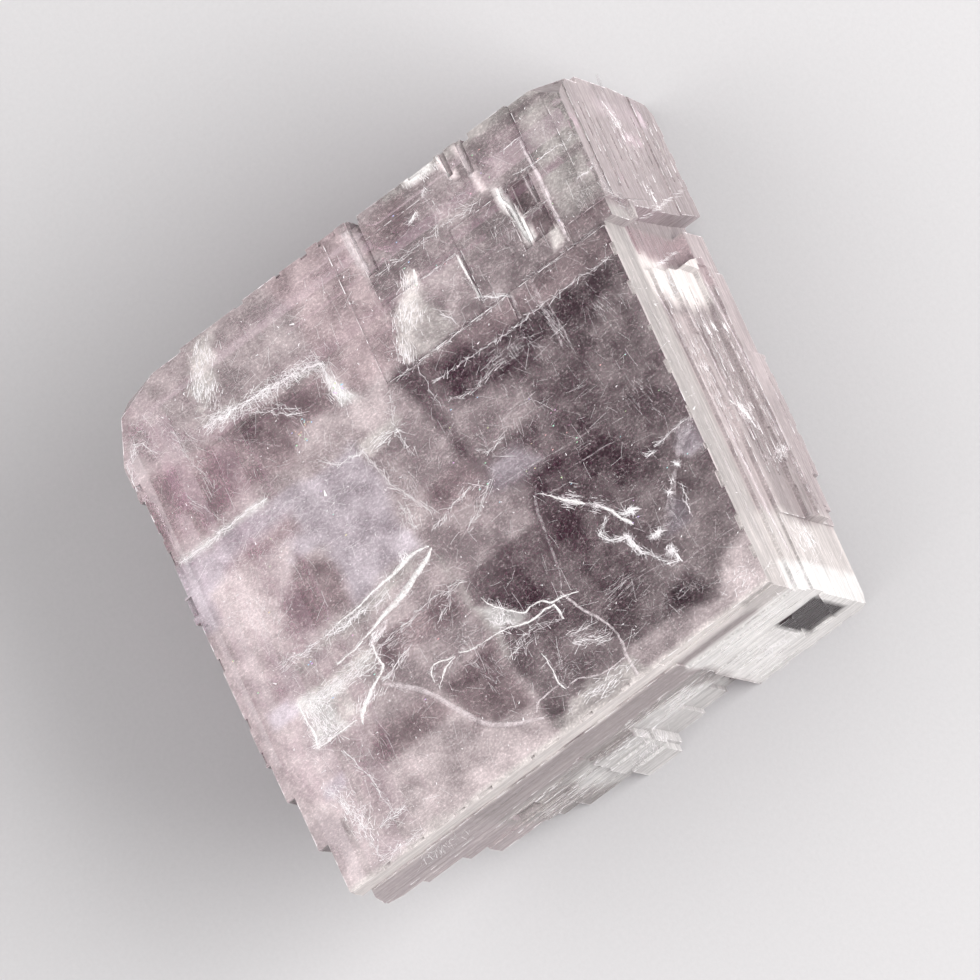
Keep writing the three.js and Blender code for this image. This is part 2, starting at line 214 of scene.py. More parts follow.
# %% Clear lilac calcite
LILAC_TINT = "#debcd2"
ABSORPTION = 72.0                  # how fast the tint deepens, per metre
CALCITE_IOR = 1.6
SMOOTH = 0.03                      # roughness of the large cleavage face
RIDGED = (0.08, 0.42)              # least and most roughness of the lamella edges
RIDGES_ALONG = 0.05                # ridges per mm along the lamellae
RIDGES_ACROSS = 1.5                # ridges per mm across them
RIDGE_HEIGHT = 0.2 * MM


def clear_calcite(name, ridged):
    """Clear calcite with the lilac tint inside, smooth or ridged along its layers."""
    material, tree, output = new_material(name)
    finish = {
        "Base Color": linear("#ffffff"), "Roughness": SMOOTH,
        "IOR": CALCITE_IOR, "Transmission Weight": 1.0,
    }
    if ridged:
        places = crystal_places(tree)
        ridges = add_node(tree, "ShaderNodeTexNoise", {
            "Vector": drawn_out(tree, places, RIDGES_ALONG, RIDGES_ALONG, RIDGES_ACROSS),
            "Scale": 1.0, "Detail": 2.0, "Roughness": 0.75,
        })
        finish["Roughness"] = add_node(tree, "ShaderNodeMapRange", {
            "Value": ridges, "From Min": 0.3, "From Max": 0.7, "To Min": RIDGED[0], "To Max": RIDGED[1],
        })
        finish["Normal"] = add_node(tree, "ShaderNodeBump", {
            "Height": ridges, "Strength": 0.3, "Distance": RIDGE_HEIGHT,
        })
    surface = add_node(tree, "ShaderNodeBsdfPrincipled", finish)
    inside = add_node(tree, "ShaderNodeVolumeAbsorption", {
        "Color": linear(LILAC_TINT), "Density": ABSORPTION,
    })
    tree.links.new(surface, output.inputs["Surface"])
    tree.links.new(inside, output.inputs["Volume"])
    return material


print("calcite bends light with an index of", CALCITE_IOR, "and tints it", LILAC_TINT)

# %% [markdown]
# ## Flat faces and sides
# A face lies flat if its normal points nearly straight up or down. The same test sorts the faces
# of the skin below, so both change their finish along the same edges.

# %% Flat faces and sides
LEVEL = 0.7                        # a face is flat if its normal's Z is past this


def give_finishes(piece, flat, side):
    """Gives a piece one material for its flat faces and one for its sides."""
    piece.data.materials.clear()
    piece.data.materials.append(flat)
    piece.data.materials.append(side)
    for face in piece.data.polygons:
        face.material_index = int(abs(face.normal.z) < LEVEL)
    sides = sum(face.material_index for face in piece.data.polygons)
    print(piece.name, "has", sides, "side faces of", len(piece.data.polygons))


cleavage_face = clear_calcite("clear_calcite_cleavage_face", False)
lamella_edges = clear_calcite("clear_calcite_lamella_edges", True)
give_finishes(body, cleavage_face, lamella_edges)

# %% [markdown]
# ## The scuffed skin
# A cleavage face is full of bruises: tiny flakes still half attached, scratches, and veils just
# under the surface that scatter white light. They could be painted into the clear material,
# but then it would no longer be plain glass. A skin a few hundredths of a millimetre outside
# the crystal, see-through where the calcite is clear, keeps the two apart. It is cut into
# small cells along the crystal's own planes, so that each corner can carry how milky it is. It
# throws no shadow, because the real milk is part of the crystal and doesn't shade it.

# %% Skin shape
SKIN_GAP = 0.03 * MM
SHELL_CAP = 1.8                    # at most this many gaps, so that sharp corners don't jut out
CUTS = (
    # crystal axis, first and last cut in mm, step in mm
    (0, -4.5, 88.0, 1.0),
    (1, -3.5, 88.0, 1.0),
    (2, 1.0, 48.0, 2.0),
)


def cut_along(shape, row, first, last, step):
    """Cuts a shape along evenly spaced planes of one crystal axis."""
    reach = first
    while reach < last:
        bmesh.ops.bisect_plane(
            shape, geom=shape.verts[:] + shape.edges[:] + shape.faces[:],
            plane_co=corner + row * reach * MM / row.dot(row), plane_no=row,
        )
        reach += step


skin = welded_copy("scuffed_skin")
shape = bmesh.new()
shape.from_mesh(skin.data)
shape.normal_update()
moves = [vert.normal * min(vert.calc_shell_factor(), SHELL_CAP) * SKIN_GAP for vert in shape.verts]
for vert, move in zip(shape.verts, moves):
    vert.co += move
for axis, first, last, step in CUTS:
    cut_along(shape, to_crystal[axis], first, last, step)
shape.to_mesh(skin.data)
shape.free()
skin.visible_shadow = False
skin.visible_diffuse = False
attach(skin, "root")
print("skin", len(skin.data.polygons), "faces")

# %% [markdown]
# ## How milky each place is
# On the top face the milky places are painted one over another, like glazes: each is an outline
# in millimetres east and north of the blunt corner, how much white it lays down, how soft its
# border is and its tint. Healed cracks stop at cleavage planes, so many borders are crisp and
# slanted. Most tints are the colours that white scratches take over more or less lilac calcite.
# Two are painted shade: a greyer milk that makes the sides darker than the top, and a dark grey
# over the clear window.

# %% Tints of the milk and of the painted shade
PINK = "#efdfe0"
BLUSH = "#f0dadc"
LILAC = "#e8dce4"
PEARL = "#f1e8e5"
WHITE = "#faf6f4"
# greyer milk for the sides: painted shade, darker than the top's milk
PAINTED_SIDE_SHADE = "#dfd0d0"
ROSE = "#f2d6da"
# dark grey over the clear window: painted shade
PAINTED_WINDOW_SHADE = "#403a3b"
TINTS = {colour: Vector(linear(colour)) for colour in (PINK, BLUSH, LILAC, PEARL, WHITE, PAINTED_SIDE_SHADE, ROSE, PAINTED_WINDOW_SHADE)}
print(len(TINTS), "tints")

# %% [markdown]
# ## Fields in the west
# The western half is the milkiest, with browner and clearer patches between healed veils. The
# broad fields come first and the patches inside them after.

# %% Fields in the west
WESTERN_FIELDS = [
    # name, cover, softness in mm, tint, outline in mm
    ("western half", 0.37, 1.5, PINK, [
        (-100, -5), (-41, -5), (-40, 35), (-39, 52), (-33, 58), (-24, 60), (-20, 95), (-110, 95),
    ]),
    ("middle band", 0.28, 1.5, PINK, [(-40, 28), (-27, 34), (-29, 46), (-28.6, 58), (-40, 58)]),
    ("south-western light", 0.4, 0.9, PINK, [(-95, -5), (-41, -5), (-41.6, 12), (-66, 12.3), (-95, 14)]),
    ("western margin", 0.42, 2.0, PINK, [(-95, -5), (-74, -5), (-71, 30), (-70, 52), (-95, 60)]),
    ("lilac band", 0.44, 1.2, LILAC, [(-78, 44), (-41, 46), (-40, 54), (-70, 55), (-78, 55)]),
    ("lilac field", 0.41, 2.5, LILAC, [(-54, 35), (-41, 36), (-40, 50), (-53, 48)]),
    ("pane over the blade", 0.34, 1.0, LILAC, [(-53.6, 35.2), (-50, 35.2), (-50.4, 42), (-53.4, 44)]),
    ("brown western patch", 0.19, 2.6, BLUSH, [
        (-62, 35.4), (-54, 35.4), (-53.8, 39), (-54.2, 43), (-56.6, 46), (-60, 42), (-63.5, 38),
    ]),
    ("streaky patch above it", 0.3, 2.6, BLUSH, [
        (-66, 48.4), (-54, 48.4), (-54, 50.8), (-62, 51.2), (-66, 50),
    ]),
    ("field under the blade", 0.14, 1.6, BLUSH, [(-56, 23.6), (-41, 23.6), (-41, 28.6), (-55, 28)]),
    ("haze west of the blade", 0.54, 1.8, PINK, [
        (-73, 36.6), (-66, 37), (-60, 44), (-56, 48), (-62, 49.4), (-72, 49),
    ]),
    ("dark south-western patch", 0.19, 1.5, BLUSH, [(-66, 13), (-52, 12.5), (-54, 20), (-62, 20.5)]),
    ("dark southern patch", 0.11, 1.5, BLUSH, [(-50, 8), (-41.5, 7), (-41, 18), (-51, 18)]),
    ("field under the fan", 0.27, 2.0, PINK, [
        (-64, 18), (-40.6, 18), (-40.6, 24), (-57, 24), (-64, 20.6),
    ]),
    ("north-western field", 0.32, 2.0, PINK, [(-95, 69), (-26, 69), (-26, 95), (-95, 95)]),
    ("north-western hollow", 0.21, 2.5, BLUSH, [(-73, 57.5), (-47, 58), (-45, 62), (-51, 68), (-71, 68)]),
    ("hollow under the rim", 0.14, 1.5, BLUSH, [(-47, 59), (-38, 60), (-38, 66), (-46, 66)]),
    ("bright field under the bruise", 0.44, 1.8, PINK, [
        (-47, 54.6), (-34, 54), (-30, 58.6), (-34, 61), (-42, 60.6), (-48, 59),
    ]),
    ("dark fan under the brow", 0.1, 1.5, BLUSH, [
        (-55.5, 67.6), (-47, 67), (-44, 62.6), (-48, 59.8), (-51.4, 61),
    ]),
    ("pink northern field", 0.34, 1.2, BLUSH, [(-36, 60), (-24, 60), (-21, 84), (-36, 84)]),
]
print(len(WESTERN_FIELDS), "fields in the west, from the", WESTERN_FIELDS[0][0])

# %% [markdown]
# ## Terraces in the north
# Each terrace is the fresh floor of a lamella that broke off, so it is clearer than the old face
# beside it. The northern rim is bruised again.

# %% Terraces in the north
TERRACE_PLACES = [
    # name, cover, softness in mm, tint, outline in mm
    ("northern terraces", 0.2, 0.6, PINK, [(-24.6, 58), (30, 58.3), (30, 95), (-22, 95)]),
    ("field beside the feather", 0.36, 1.2, PEARL, [
        (-27, 58.4), (-17, 58.4), (-17, 62), (-19, 66), (-24, 65),
    ]),
    ("north-eastern terrace", 0.3, 0.5, PEARL, [(7, 70.5), (16, 70.5), (18, 79), (8.6, 79)]),
    ("middle terrace", 0.3, 0.5, PINK, [(-11, 72), (6, 72), (7, 76), (-10, 76)]),
    ("small terrace", 0.28, 0.4, PINK, [(-17, 60.5), (-11.6, 60.5), (-10.4, 67.6), (-16.4, 67.8)]),
    ("eastern terrace", 0.27, 0.8, PEARL, [(6, 62), (13, 62), (14, 69.5), (7, 69.5)]),
    ("northern dark terrace", 0.17, 0.8, BLUSH, [(-22, 75), (-14, 75), (-12, 80), (-20, 80)]),
    ("northern rim", 0.3, 0.5, PEARL, [(-15, 80.4), (18, 80), (18, 95), (-15, 95)]),
    ("dark rhomb", 0.1, 0.25, BLUSH, [(0.6, 66.8), (3.6, 66.6), (4.4, 71.2), (1.2, 71.3)]),
    ("lower dark rhomb", 0.12, 0.25, BLUSH, [(0.6, 62.7), (3.9, 62.4), (4.6, 65.6), (1.0, 65.9)]),
    ("long dark rhomb", 0.11, 0.25, BLUSH, [(4.3, 59), (12, 59), (12.2, 61.5), (4.6, 61.5)]),
    ("brownish shelf", 0.13, 0.4, BLUSH, [(-25.5, 54.5), (9.4, 54), (9.6, 58.2), (-25, 58)]),
]
print(len(TERRACE_PLACES), "places on the terraces, from the", TERRACE_PLACES[0][0])

# %% [markdown]
# ## Dark panes and the haze around them
# Where no crack scatters the light, the crystal is a dark pane that shows its depth. A cover
# below 0 only takes away the patterns that the finish adds everywhere.

# %% Dark panes and haze
PANES_AND_HAZE = [
    # name, cover, softness in mm, tint, outline in mm
    ("darkest pane", 0.01, 0.3, PINK, [(-4, 49.5), (3, 49.5), (7.6, 51), (7.8, 53.8), (-3.8, 53.9)]),
    ("dark pane", 0, 1.5, PINK, [(-24.5, 50), (-17, 50), (-17, 56), (-24.5, 56)]),
    ("cloud in the dark pane", 0.21, 2.5, PINK, [(-27, 41), (-14, 42), (-15, 48), (-25, 49)]),
    ("dark field in the middle", 0.14, 2.0, BLUSH, [(-35, 36.6), (-28, 36.6), (-28, 42.4), (-35, 42.4)]),
    ("dark strip under the shelf", -0.04, 0.6, PINK, [(-17, 49.5), (-4, 49.5), (-4, 53.9), (-17, 53.9)]),
    ("dark field by the comet", -0.05, 2.0, PINK, [
        (-26, 33.4), (-23.6, 28), (-20, 24), (-16, 28), (-9, 30), (-8, 34), (-20, 34),
    ]),
    ("haze over the southern pane", 0.16, 2.0, PINK, [(-12, 6), (0, 6), (1, 12), (-12, 12)]),
    ("haze by the eastern edge", 0.16, 2.0, PINK, [(3.4, 40), (5.4, 49), (9, 49), (7, 38)]),
    ("bluish cloud", 0.23, 2.0, LILAC, [(-28, 35), (-19, 35), (-20, 39.5), (-26, 40)]),
    ("eastern cloud", 0.06, 2.5, PINK, [(-9, 40), (4, 40), (5, 47), (-8, 47)]),
    ("southern cloud", 0.14, 2.5, PINK, [(-12, 11), (0, 12), (1, 19), (-10, 17)]),
    ("southern panes", 0.1, 1.5, PINK, [(-40, 4), (-26, 4), (-28, 13), (-40, 15)]),
    ("haze diagonal in the south-west", 0.49, 1.6, PINK, [
        (-72, 21.4), (-69.6, 19), (-78, 11.4), (-81, 14),
    ]),
    ("lilac pane in the south-west", 0.41, 0.5, LILAC, [
        (-75, 13.4), (-71.4, 13.4), (-71.4, 15.4), (-75, 15.4),
    ]),
    ("low south-western light", 0.52, 2.0, PINK, [(-80, 4), (-45, 4), (-45, -3), (-80, -3)]),
    ("pane between blade and dark", 0.24, 1.4, PINK, [
        (-39, 28.4), (-26, 29), (-22, 33.4), (-28, 36), (-39, 35.4),
    ]),
    ("round dark pane", 0, 1.2, PINK, [
        (-38.4, 22.6), (-36.6, 20.6), (-34.6, 19.2), (-31, 18.8), (-30, 24), (-33, 26.6), (-38.4, 27),
    ]),
    ("darkest wedge", -0.06, 1.4, PINK, [
        (-27.6, 18.4), (-22, 17.6), (-20.6, 24), (-22.6, 30), (-24.6, 28),
    ]),
    ("dark pane in the south", 0, 1.4, PINK, [(-16.6, 4.6), (-9.6, 5.4), (-10.6, 9.4), (-15.6, 9.4)]),
    ("hatched southern pane", 0.03, 1.6, PINK, [(-25, 9), (-16, 10), (-16.4, 15.6), (-24.6, 15.6)]),
    ("dark pane by the comet", -0.03, 1.6, PINK, [(-12, 24), (-8, 24), (-7.4, 33), (-12, 33)]),
    ("dark pane above it", 0, 1.4, PINK, [(-16, 36), (-9, 35.6), (-9, 39.6), (-14, 40)]),
    ("haze by the southern edge", 0.29, 1.2, PINK, [(-26, 0), (-9, 0), (-9, 3.6), (-26, 5)]),
    ("cloud at the blunt corner", 0.46, 1.6, PINK, [
        (-9.6, -3), (14, -3), (14, 9), (0, 8.6), (-6, 6.8), (-9.2, 4),
    ]),
    ("southern margin", 0.6, 0.6, PEARL, [(-90, -9), (14, -9), (14, 0.9), (-90, 1.2)]),
    ("pearly southern patch", 0.31, 0.5, PEARL, [
        (-41, 0.8), (-25, 0.8), (-25, 4.2), (-33, 4.4), (-41, 2.6),
    ]),
]
print(len(PANES_AND_HAZE), "panes and hazes, from the", PANES_AND_HAZE[0][0])

# %% [markdown]
# ## Bright places
# The whitest places lie over everything else: fans and wedges where a crack broke up, and the
# faces of small risers that stand on edge. On those faces the white is a painted highlight, for
# the light that they catch.

# %% Bright places
BRIGHT_PLACES = [
    # name, cover, softness in mm, tint, outline in mm
    ("white wedge", 0.4, 0.35, WHITE, [
        (-40.2, 24.4), (-38.2, 22.4), (-37, 21), (-35.6, 19.4), (-34.6, 18.6), (-34.6, 17.3),
        (-36, 17.6), (-38, 18.2), (-40.2, 18.2),
    ]),
    ("cloud beside the fan", 0.6, 0.8, LILAC, [(-75, 29), (-70.4, 29.2), (-70.4, 26.6), (-75, 26.8)]),
    ("haze of the western fan", 0.56, 0.7, PEARL, [
        (-66.4, 25.8), (-56.4, 25.8), (-55.6, 28), (-62, 28.6), (-68, 28.6),
    ]),
    ("white western fan", 0.6, 0.8, WHITE, [
        (-70.2, 28.2), (-70.6, 23), (-72, 20.6), (-65, 20.5), (-66.2, 23), (-66.4, 25.6), (-63.4, 25.8),
        (-62.4, 27), (-66, 27.2), (-68.6, 28.2),
    ]),
    ("grey pane in the fan", 0.5, 0.5, PEARL, [(-66.2, 21.4), (-63.6, 21.4), (-63.2, 25.4), (-66, 25.4)]),
    ("band through the middle", 0.32, 0.7, PEARL, [(-40.9, 14), (-39.9, 14), (-39.3, 33), (-40.1, 33)]),
    ("pane by the blade's tip", 0.6, 0.6, LILAC, [(-45, 36), (-41, 36), (-41, 39), (-44, 40)]),
    ("hollow in the blade", 0.32, 0.8, PEARL, [
        (-69, 31.6), (-56, 31.6), (-44, 33.6), (-42, 35), (-50, 34.6), (-66, 33),
    ]),
    ("pane west of the dark one", 0.21, 0.6, PINK, [
        (-39.4, 42), (-34.6, 42), (-33.6, 51), (-39.6, 50.4),
    ]),
    ("bright shelf", 0.44, 0.5, PEARL, [(-39.6, 51), (-34, 51.4), (-31.6, 54), (-40, 53.2)]),
    ("bright line of the lilac band", 0.5, 0.4, WHITE, [
        (-71.8, 54.9), (-60, 54.4), (-55, 54.5), (-55.3, 55.8), (-66, 55.6), (-71.6, 55.6),
    ]),
    ("white bruise", 0.68, 0.5, WHITE, [
        (-38.8, 59.8), (-35.2, 59), (-36.4, 61.6), (-37.2, 65.4), (-38.2, 63),
    ]),
    ("feathery bruise", 0.54, 0.9, PEARL, [
        (-56.4, 70), (-51.6, 73), (-49.4, 77), (-46.6, 81), (-50.6, 81), (-53, 78.4), (-56.2, 74.6),
        (-54.6, 73.2),
    ]),
    ("jagged brow", 0.24, 0.8, PEARL, [
        (-56.6, 70.2), (-50, 69.8), (-44, 69.2), (-38, 68), (-36.2, 67.2), (-36.4, 66), (-44, 67),
        (-51, 68), (-54, 68.2),
    ]),
    ("feathery diagonal", 0.58, 0.6, PEARL, [
        (-26.4, 58.6), (-24.6, 60.4), (-23.4, 61.4), (-19.4, 65), (-18, 67.4), (-17.2, 69.8),
        (-18.8, 69.8), (-22.2, 67), (-24.8, 64), (-26.8, 61.6),
    ]),
    ("white rim", 0.66, 0.4, WHITE, [(-11.4, 83), (-5.2, 83), (-5.4, 80.1), (-8.6, 80.2), (-11, 80.6)]),
    ("veil by the sparks", 0.09, 0.8, LILAC, [
        (-11, 14.6), (-6.6, 19.6), (-5, 18.6), (-5.6, 15.8), (-8, 14.4),
    ]),
    ("veil in the east", 0.26, 0.7, LILAC, [(-2.4, 24), (0, 27), (3.2, 27.2), (2.6, 23), (-1, 22.6)]),
    # painted highlight: white on the ridge faces below, where they catch the light
    ("bright ridge face", 0.93, 0.25, WHITE, [
        (-0.9, 71.8), (0.3, 71.8), (0.9, 68), (0.4, 62.6), (-1, 62.6), (-0.8, 66),
    ]),
    ("bright little face", 0.66, 0.35, PEARL, [(1.8, 59.4), (4, 59.4), (4.4, 62), (2.4, 62.3)]),
    ("western ridge face", 0.39, 0.25, PINK, [(-23.3, 80), (-21.3, 80), (-22.4, 72.6), (-23.9, 72.6)]),
    ("ridge faces at the rim", 0.81, 0.25, PINK, [(-4.7, 77), (-3.9, 77.2), (-3.7, 81.4), (-4.5, 81.4)]),
    ("slanted ridge face", 0.8, 0.25, PINK, [(-2.5, 73.4), (-1.5, 73.6), (-0.3, 81), (-1.3, 81)]),
]
TOP_PLACES = WESTERN_FIELDS + TERRACE_PLACES + PANES_AND_HAZE + BRIGHT_PLACES
print(len(BRIGHT_PLACES), "bright places;", len(TOP_PLACES), "places on the top in all")

# %% [markdown]
# ## Milk on the top face
# A place's share at a point grows from none to all across its soft border. A slow noise moves
# the point a little before it is compared, so that no border is drawn with a ruler.

# %% Milk on the top face
WANDER = 1.1                       # mm that a soft border wanders
WANDER_SIZE = 7.0                  # mm from one wander to the next
SOFTEST_WANDER = 1.5               # mm; borders softer than this wander no more than it does
BARE_COVER = 0.06                  # the finest scuffs, outside every place


def smooth_step(value):
    """0 below 0, 1 above 1 and an even rise between."""
    value = min(max(value, 0.0), 1.0)
    return value * value * (3 - 2 * value)


def depth_inside(outline, x, y):
    """How far a point lies inside an outline in mm; below 0 outside it."""
    nearest, inside = math.inf, False
    for (x1, y1), (x2, y2) in zip(outline, outline[1:] + outline[:1]):
        run, rise = x2 - x1, y2 - y1
        along = ((x - x1) * run + (y - y1) * rise) / (run * run + rise * rise)
        along = min(max(along, 0.0), 1.0)
        nearest = min(nearest, math.hypot(x - x1 - along * run, y - y1 - along * rise))
        if (y1 > y) != (y2 > y) and x < x1 + (y - y1) / rise * run:
            inside = not inside
    return nearest if inside else -nearest


def top_milk(point):
    """Cover and tint at a place on a flat face, in mm east, north and up from the blunt corner."""
    drift = noise.noise_vector(point / WANDER_SIZE)
    cover, tint = BARE_COVER, TINTS[PINK]
    for _, strength, softness, colour, outline in TOP_PLACES:
        reach = WANDER * min(softness, SOFTEST_WANDER)
        x, y = point.x + drift.x * reach, point.y + drift.y * reach
        (west, east), (south, north) = [(min(values), max(values)) for values in zip(*outline)]
        if min(x - west, east - x, y - south, north - y) < -softness / 2:
            continue
        share = smooth_step(depth_inside(outline, x, y) / softness + 0.5)
        cover += (strength - cover) * share
        tint = tint.lerp(TINTS[colour], share)
    return cover, tint


print("cover in a dark pane", round(top_milk(Vector((-21, 53, 0)))[0], 2))
print("cover in the white wedge", round(top_milk(Vector((-38, 20, 0)))[0], 2))

# %% [markdown]
# ## Milk on the sides
# A side is a stack of lamellae, and each band of them broke its own way: polished, frosted or
# crushed. On the sides a place is therefore a range of u, v and w, in millimetres, and an axis
# that isn't given is free. Most sides get the greyer painted shade, the risers of the top get a
# painted highlight, and the clear window gets painted shade in dark grey.

# %% Milk on the sides
EAST = (-5, 8)                     # mm of u, for a place on the east side
SOUTH = (-5, 5)                    # mm of v, for a place on the south side
SIDE_WANDER_SIZE = 5.0             # mm from one wander of a side's borders to the next
MOST_SIDE_WANDER = 4.0             # mm that they wander at most

SIDE_PLACES = [
    # name, cover, tint, softness in mm, ranges in mm
    # painted shade: the sides get a greyer milk than the top
    ("all sides", 0.42, PAINTED_SIDE_SHADE, 1.0, {}),
    # painted highlight: bright milk on the risers of the top
    ("painted highlight on the risers of the top", 0.8, PINK, 0.4, {"w": (-1, 4.6)}),
    ("western side", 0.42, PINK, 1.0, {"u": (60, 95)}),
    ("northern side", 0.4, PINK, 1.0, {"u": (8, 95), "v": (60, 95)}),
    ("upper band of the south side", 0.76, PEARL, 0.4, {"u": (8, 95), "v": SOUTH, "w": (-1, 5.5)}),
    ("smooth eastern band", 0.47, PEARL, 0.3, {"u": EAST, "v": (-5, 90), "w": (0, 12)}),
    ("foot of the smooth band", 0.58, PEARL, 5.0, {"u": EAST, "v": (-5, 10), "w": (0, 12)}),
    ("northern block", 0.41, PINK, 0.4, {"u": EAST, "v": (62, 90), "w": (0, 60)}),
    ("deep pink gap", 0.36, ROSE, 0.5, {"u": EAST, "v": (49, 61), "w": (13, 60)}),
    # these two lamella bands get the greyer painted shade too
    ("frosted eastern lamellae", 0.42, PAINTED_SIDE_SHADE, 0.6, {"u": EAST, "v": (13, 52), "w": (12, 38)}),
    ("lamellae beside the smooth band", 0.6, PAINTED_SIDE_SHADE, 0.8, {"u": EAST, "v": (-5, 46), "w": (12.6, 22)}),
    ("white head of the lamellae", 0.84, PEARL, 2.6, {"u": EAST, "v": (47.6, 56), "w": (11, 35)}),
    ("outer eastern layer", 0.46, PINK, 0.4, {"u": EAST, "v": (3, 62), "w": (38, 60)}),
    ("upper end of the outer layer", 0.56, PINK, 6.0, {"u": EAST, "v": (34, 62), "w": (38, 60)}),
    ("corner block, east", 0.66, PEARL, 2.0, {"u": EAST, "v": (-5, 13), "w": (8, 60)}),
    ("corner block, south", 0.8, WHITE, 1.0, {"u": (-5, 22), "v": SOUTH, "w": (10, 60)}),
    ("striped hollow", 0.34, PEARL, 1.5, {"u": (22, 60), "v": (-5, 6), "w": (20, 60)}),
    ("bruised lump", 0.62, WHITE, 3.0, {"u": (26, 50), "v": (-5, 6), "w": (26, 60)}),
    # painted shade: dark grey milk over the clear window
    ("painted shade over the clear window", 0.5, PAINTED_WINDOW_SHADE, 0.4, {"u": (3, 10), "v": (-5, 2), "w": (24.6, 41)}),
]


def side_milk(point):
    """Cover and tint at a place on the sides."""
    cover, tint = 0.0, TINTS[PINK]
    here, drift = to_crystal @ point, noise.noise_vector(point / SIDE_WANDER_SIZE)
    for _, strength, colour, softness, ranges in SIDE_PLACES:
        share = 1.0
        reach = dict(zip("uvw", here + drift * min(softness, MOST_SIDE_WANDER)))
        for name, (low, high) in ranges.items():
            deep = min(reach[name] - low, high - reach[name])
            share *= smooth_step(deep / softness + 0.5)
        cover += (strength - cover) * share
        tint = tint.lerp(TINTS[colour], share)
    return cover, tint


print(len(SIDE_PLACES), "places on the sides, from the", SIDE_PLACES[1][0])

# %% [markdown]
# ## Painting the skin
# Each corner of the skin now gets its tint and cover as one colour attribute. A flat face can be
# the top or a terrace, a ledge low on a side, the floor of a chip at the rim, or the face that
# the crystal rests on, and its depth along w tells which. A corner between a flat face and a
# side is painted twice, once for each, so that the finish changes at the edge.

# %% Painting the skin
TERRACE_DEPTH = 5.0                # mm along w, below which a flat face is a ledge on a side
RESTING_DEPTH = 47.0               # mm along w, below which it is the face that the crystal rests on
CHIP_DEPTH = 0.2                   # mm along w, below which a flat face at the rim is a chip's floor
RIM = 4.6                          # mm, how far the chips reach in from the edges
CHIPS_END = 57                     # mm along v, where the terraces take over from the chips
RESTING_COVER = 0.12


def flat_milk(point):
    """Cover and tint on a flat face: the top, a chip's floor, a ledge or the resting face."""
    u, v, depth = to_crystal @ point
    if depth > RESTING_DEPTH:
        return RESTING_COVER, TINTS[PINK]
    chipped = depth > CHIP_DEPTH and min(u, v) < RIM and v < CHIPS_END
    return side_milk(point) if chipped or depth > TERRACE_DEPTH else top_milk(point)


milk = skin.data.color_attributes.new("milk", "FLOAT_COLOR", "CORNER")
painted = {}
for face in skin.data.polygons:
    flat = abs(face.normal.z) > LEVEL
    for loop in face.loop_indices:
        vertex = skin.data.loops[loop].vertex_index
        if (vertex, flat) not in painted:
            point = (skin.data.vertices[vertex].co - corner) / MM
            cover, tint = flat_milk(point) if flat else side_milk(point)
            painted[vertex, flat] = (*tint[:3], cover)
        milk.data[loop].color = painted[vertex, flat]
print("painted", len(painted), "corners")

# %% [markdown]
# ## The milky finish
# Scratched calcite is a thin layer of white over a clear body. The skin's material is therefore
# a pale scuffed surface whose alpha says how much of it there is: the painted cover, broken up
# by patterns. It could be one even haze, but real milk is made of clouds, streaks and grain.
# Each pattern's scale is in cells per millimetre. The finest real scuffs are too fine to show,
# so the grain is drawn as coarse as it needs to be seen.

# %% The milky finish
MILK_IOR = 1.5


def milky_skin(name, milk_pattern, roughness):
    """A thin milky layer, as thick as the painted cover and the pattern make it."""
    material, tree, output = new_material(name)
    cover = tree.nodes.new("ShaderNodeAttribute")
    cover.attribute_name = "milk"
    scuff = add_node(tree, "ShaderNodeBsdfPrincipled", {
        "Base Color": cover.outputs["Color"], "Roughness": roughness, "IOR": MILK_IOR,
        "Alpha": milk_pattern(tree, cover.outputs["Alpha"]),
    })
    tree.links.new(scuff, output.inputs["Surface"])
    return material


def work_in(tree, milk, how, pattern, middle, amount, **settings):
    """Multiplies milk by a pattern or adds one, its middle range spread over an amount."""
    spread = add_node(tree, "ShaderNodeMapRange", {
        "Value": pattern, "From Min": middle[0], "From Max": middle[1],
        "To Min": amount[0], "To Max": amount[1],
    })
    return add_node(tree, "ShaderNodeMath", {0: milk, 1: spread}, operation=how, **settings)


print("the milky skin's refractive index is", MILK_IOR)

# %% [markdown]
# ## Milky cleavage face
# On the flat faces the milk is cloudy, with faint streaks along one cleavage direction and a
# grain of tiny flakes. Webs of curled cracks cross it: the borders of Voronoi cells, bent by a
# noise so that they don't look like a honeycomb, and strongest where the grain is strong. The
# face itself is fairly smooth, so it keeps a soft sheen.

# %% Milky cleavage face
CLOUDS = 0.17                      # clouds per mm
STREAKS = (0.2, 0.9)               # streaks per mm along and across them
GRAIN = (1.9, 2.9)                 # grains per mm along u and v
WEB_CELLS = 0.8                    # cells of a crack web per mm
WEB_BEND = 2.6                     # mm that the noise bends a web


def crack_webs(tree, places, grain):
    """Curled hairline webs, strongest where the grain is strong."""
    bends = add_node(tree, "ShaderNodeTexNoise", {
        "Vector": places["mm"], "Scale": WEB_CELLS, "Detail": 1.0,
    }, out="Color")
    bent = add_node(tree, "ShaderNodeVectorMath", {
        0: bends, 1: (WEB_BEND, WEB_BEND, WEB_BEND), 2: places["mm"],
    }, operation="MULTIPLY_ADD")
    border = add_node(tree, "ShaderNodeTexVoronoi", {
        "Vector": bent, "Scale": WEB_CELLS, "Randomness": 1.0,
    }, out="Distance", feature="DISTANCE_TO_EDGE")
    strength = add_node(tree, "ShaderNodeMapRange", {
        "Value": grain, "From Min": 0.36, "From Max": 0.66, "To Min": 0.0, "To Max": 0.22,
    })
    return work_in(tree, strength, "MULTIPLY", border, (0.0, 0.06), (1.0, 0.0))


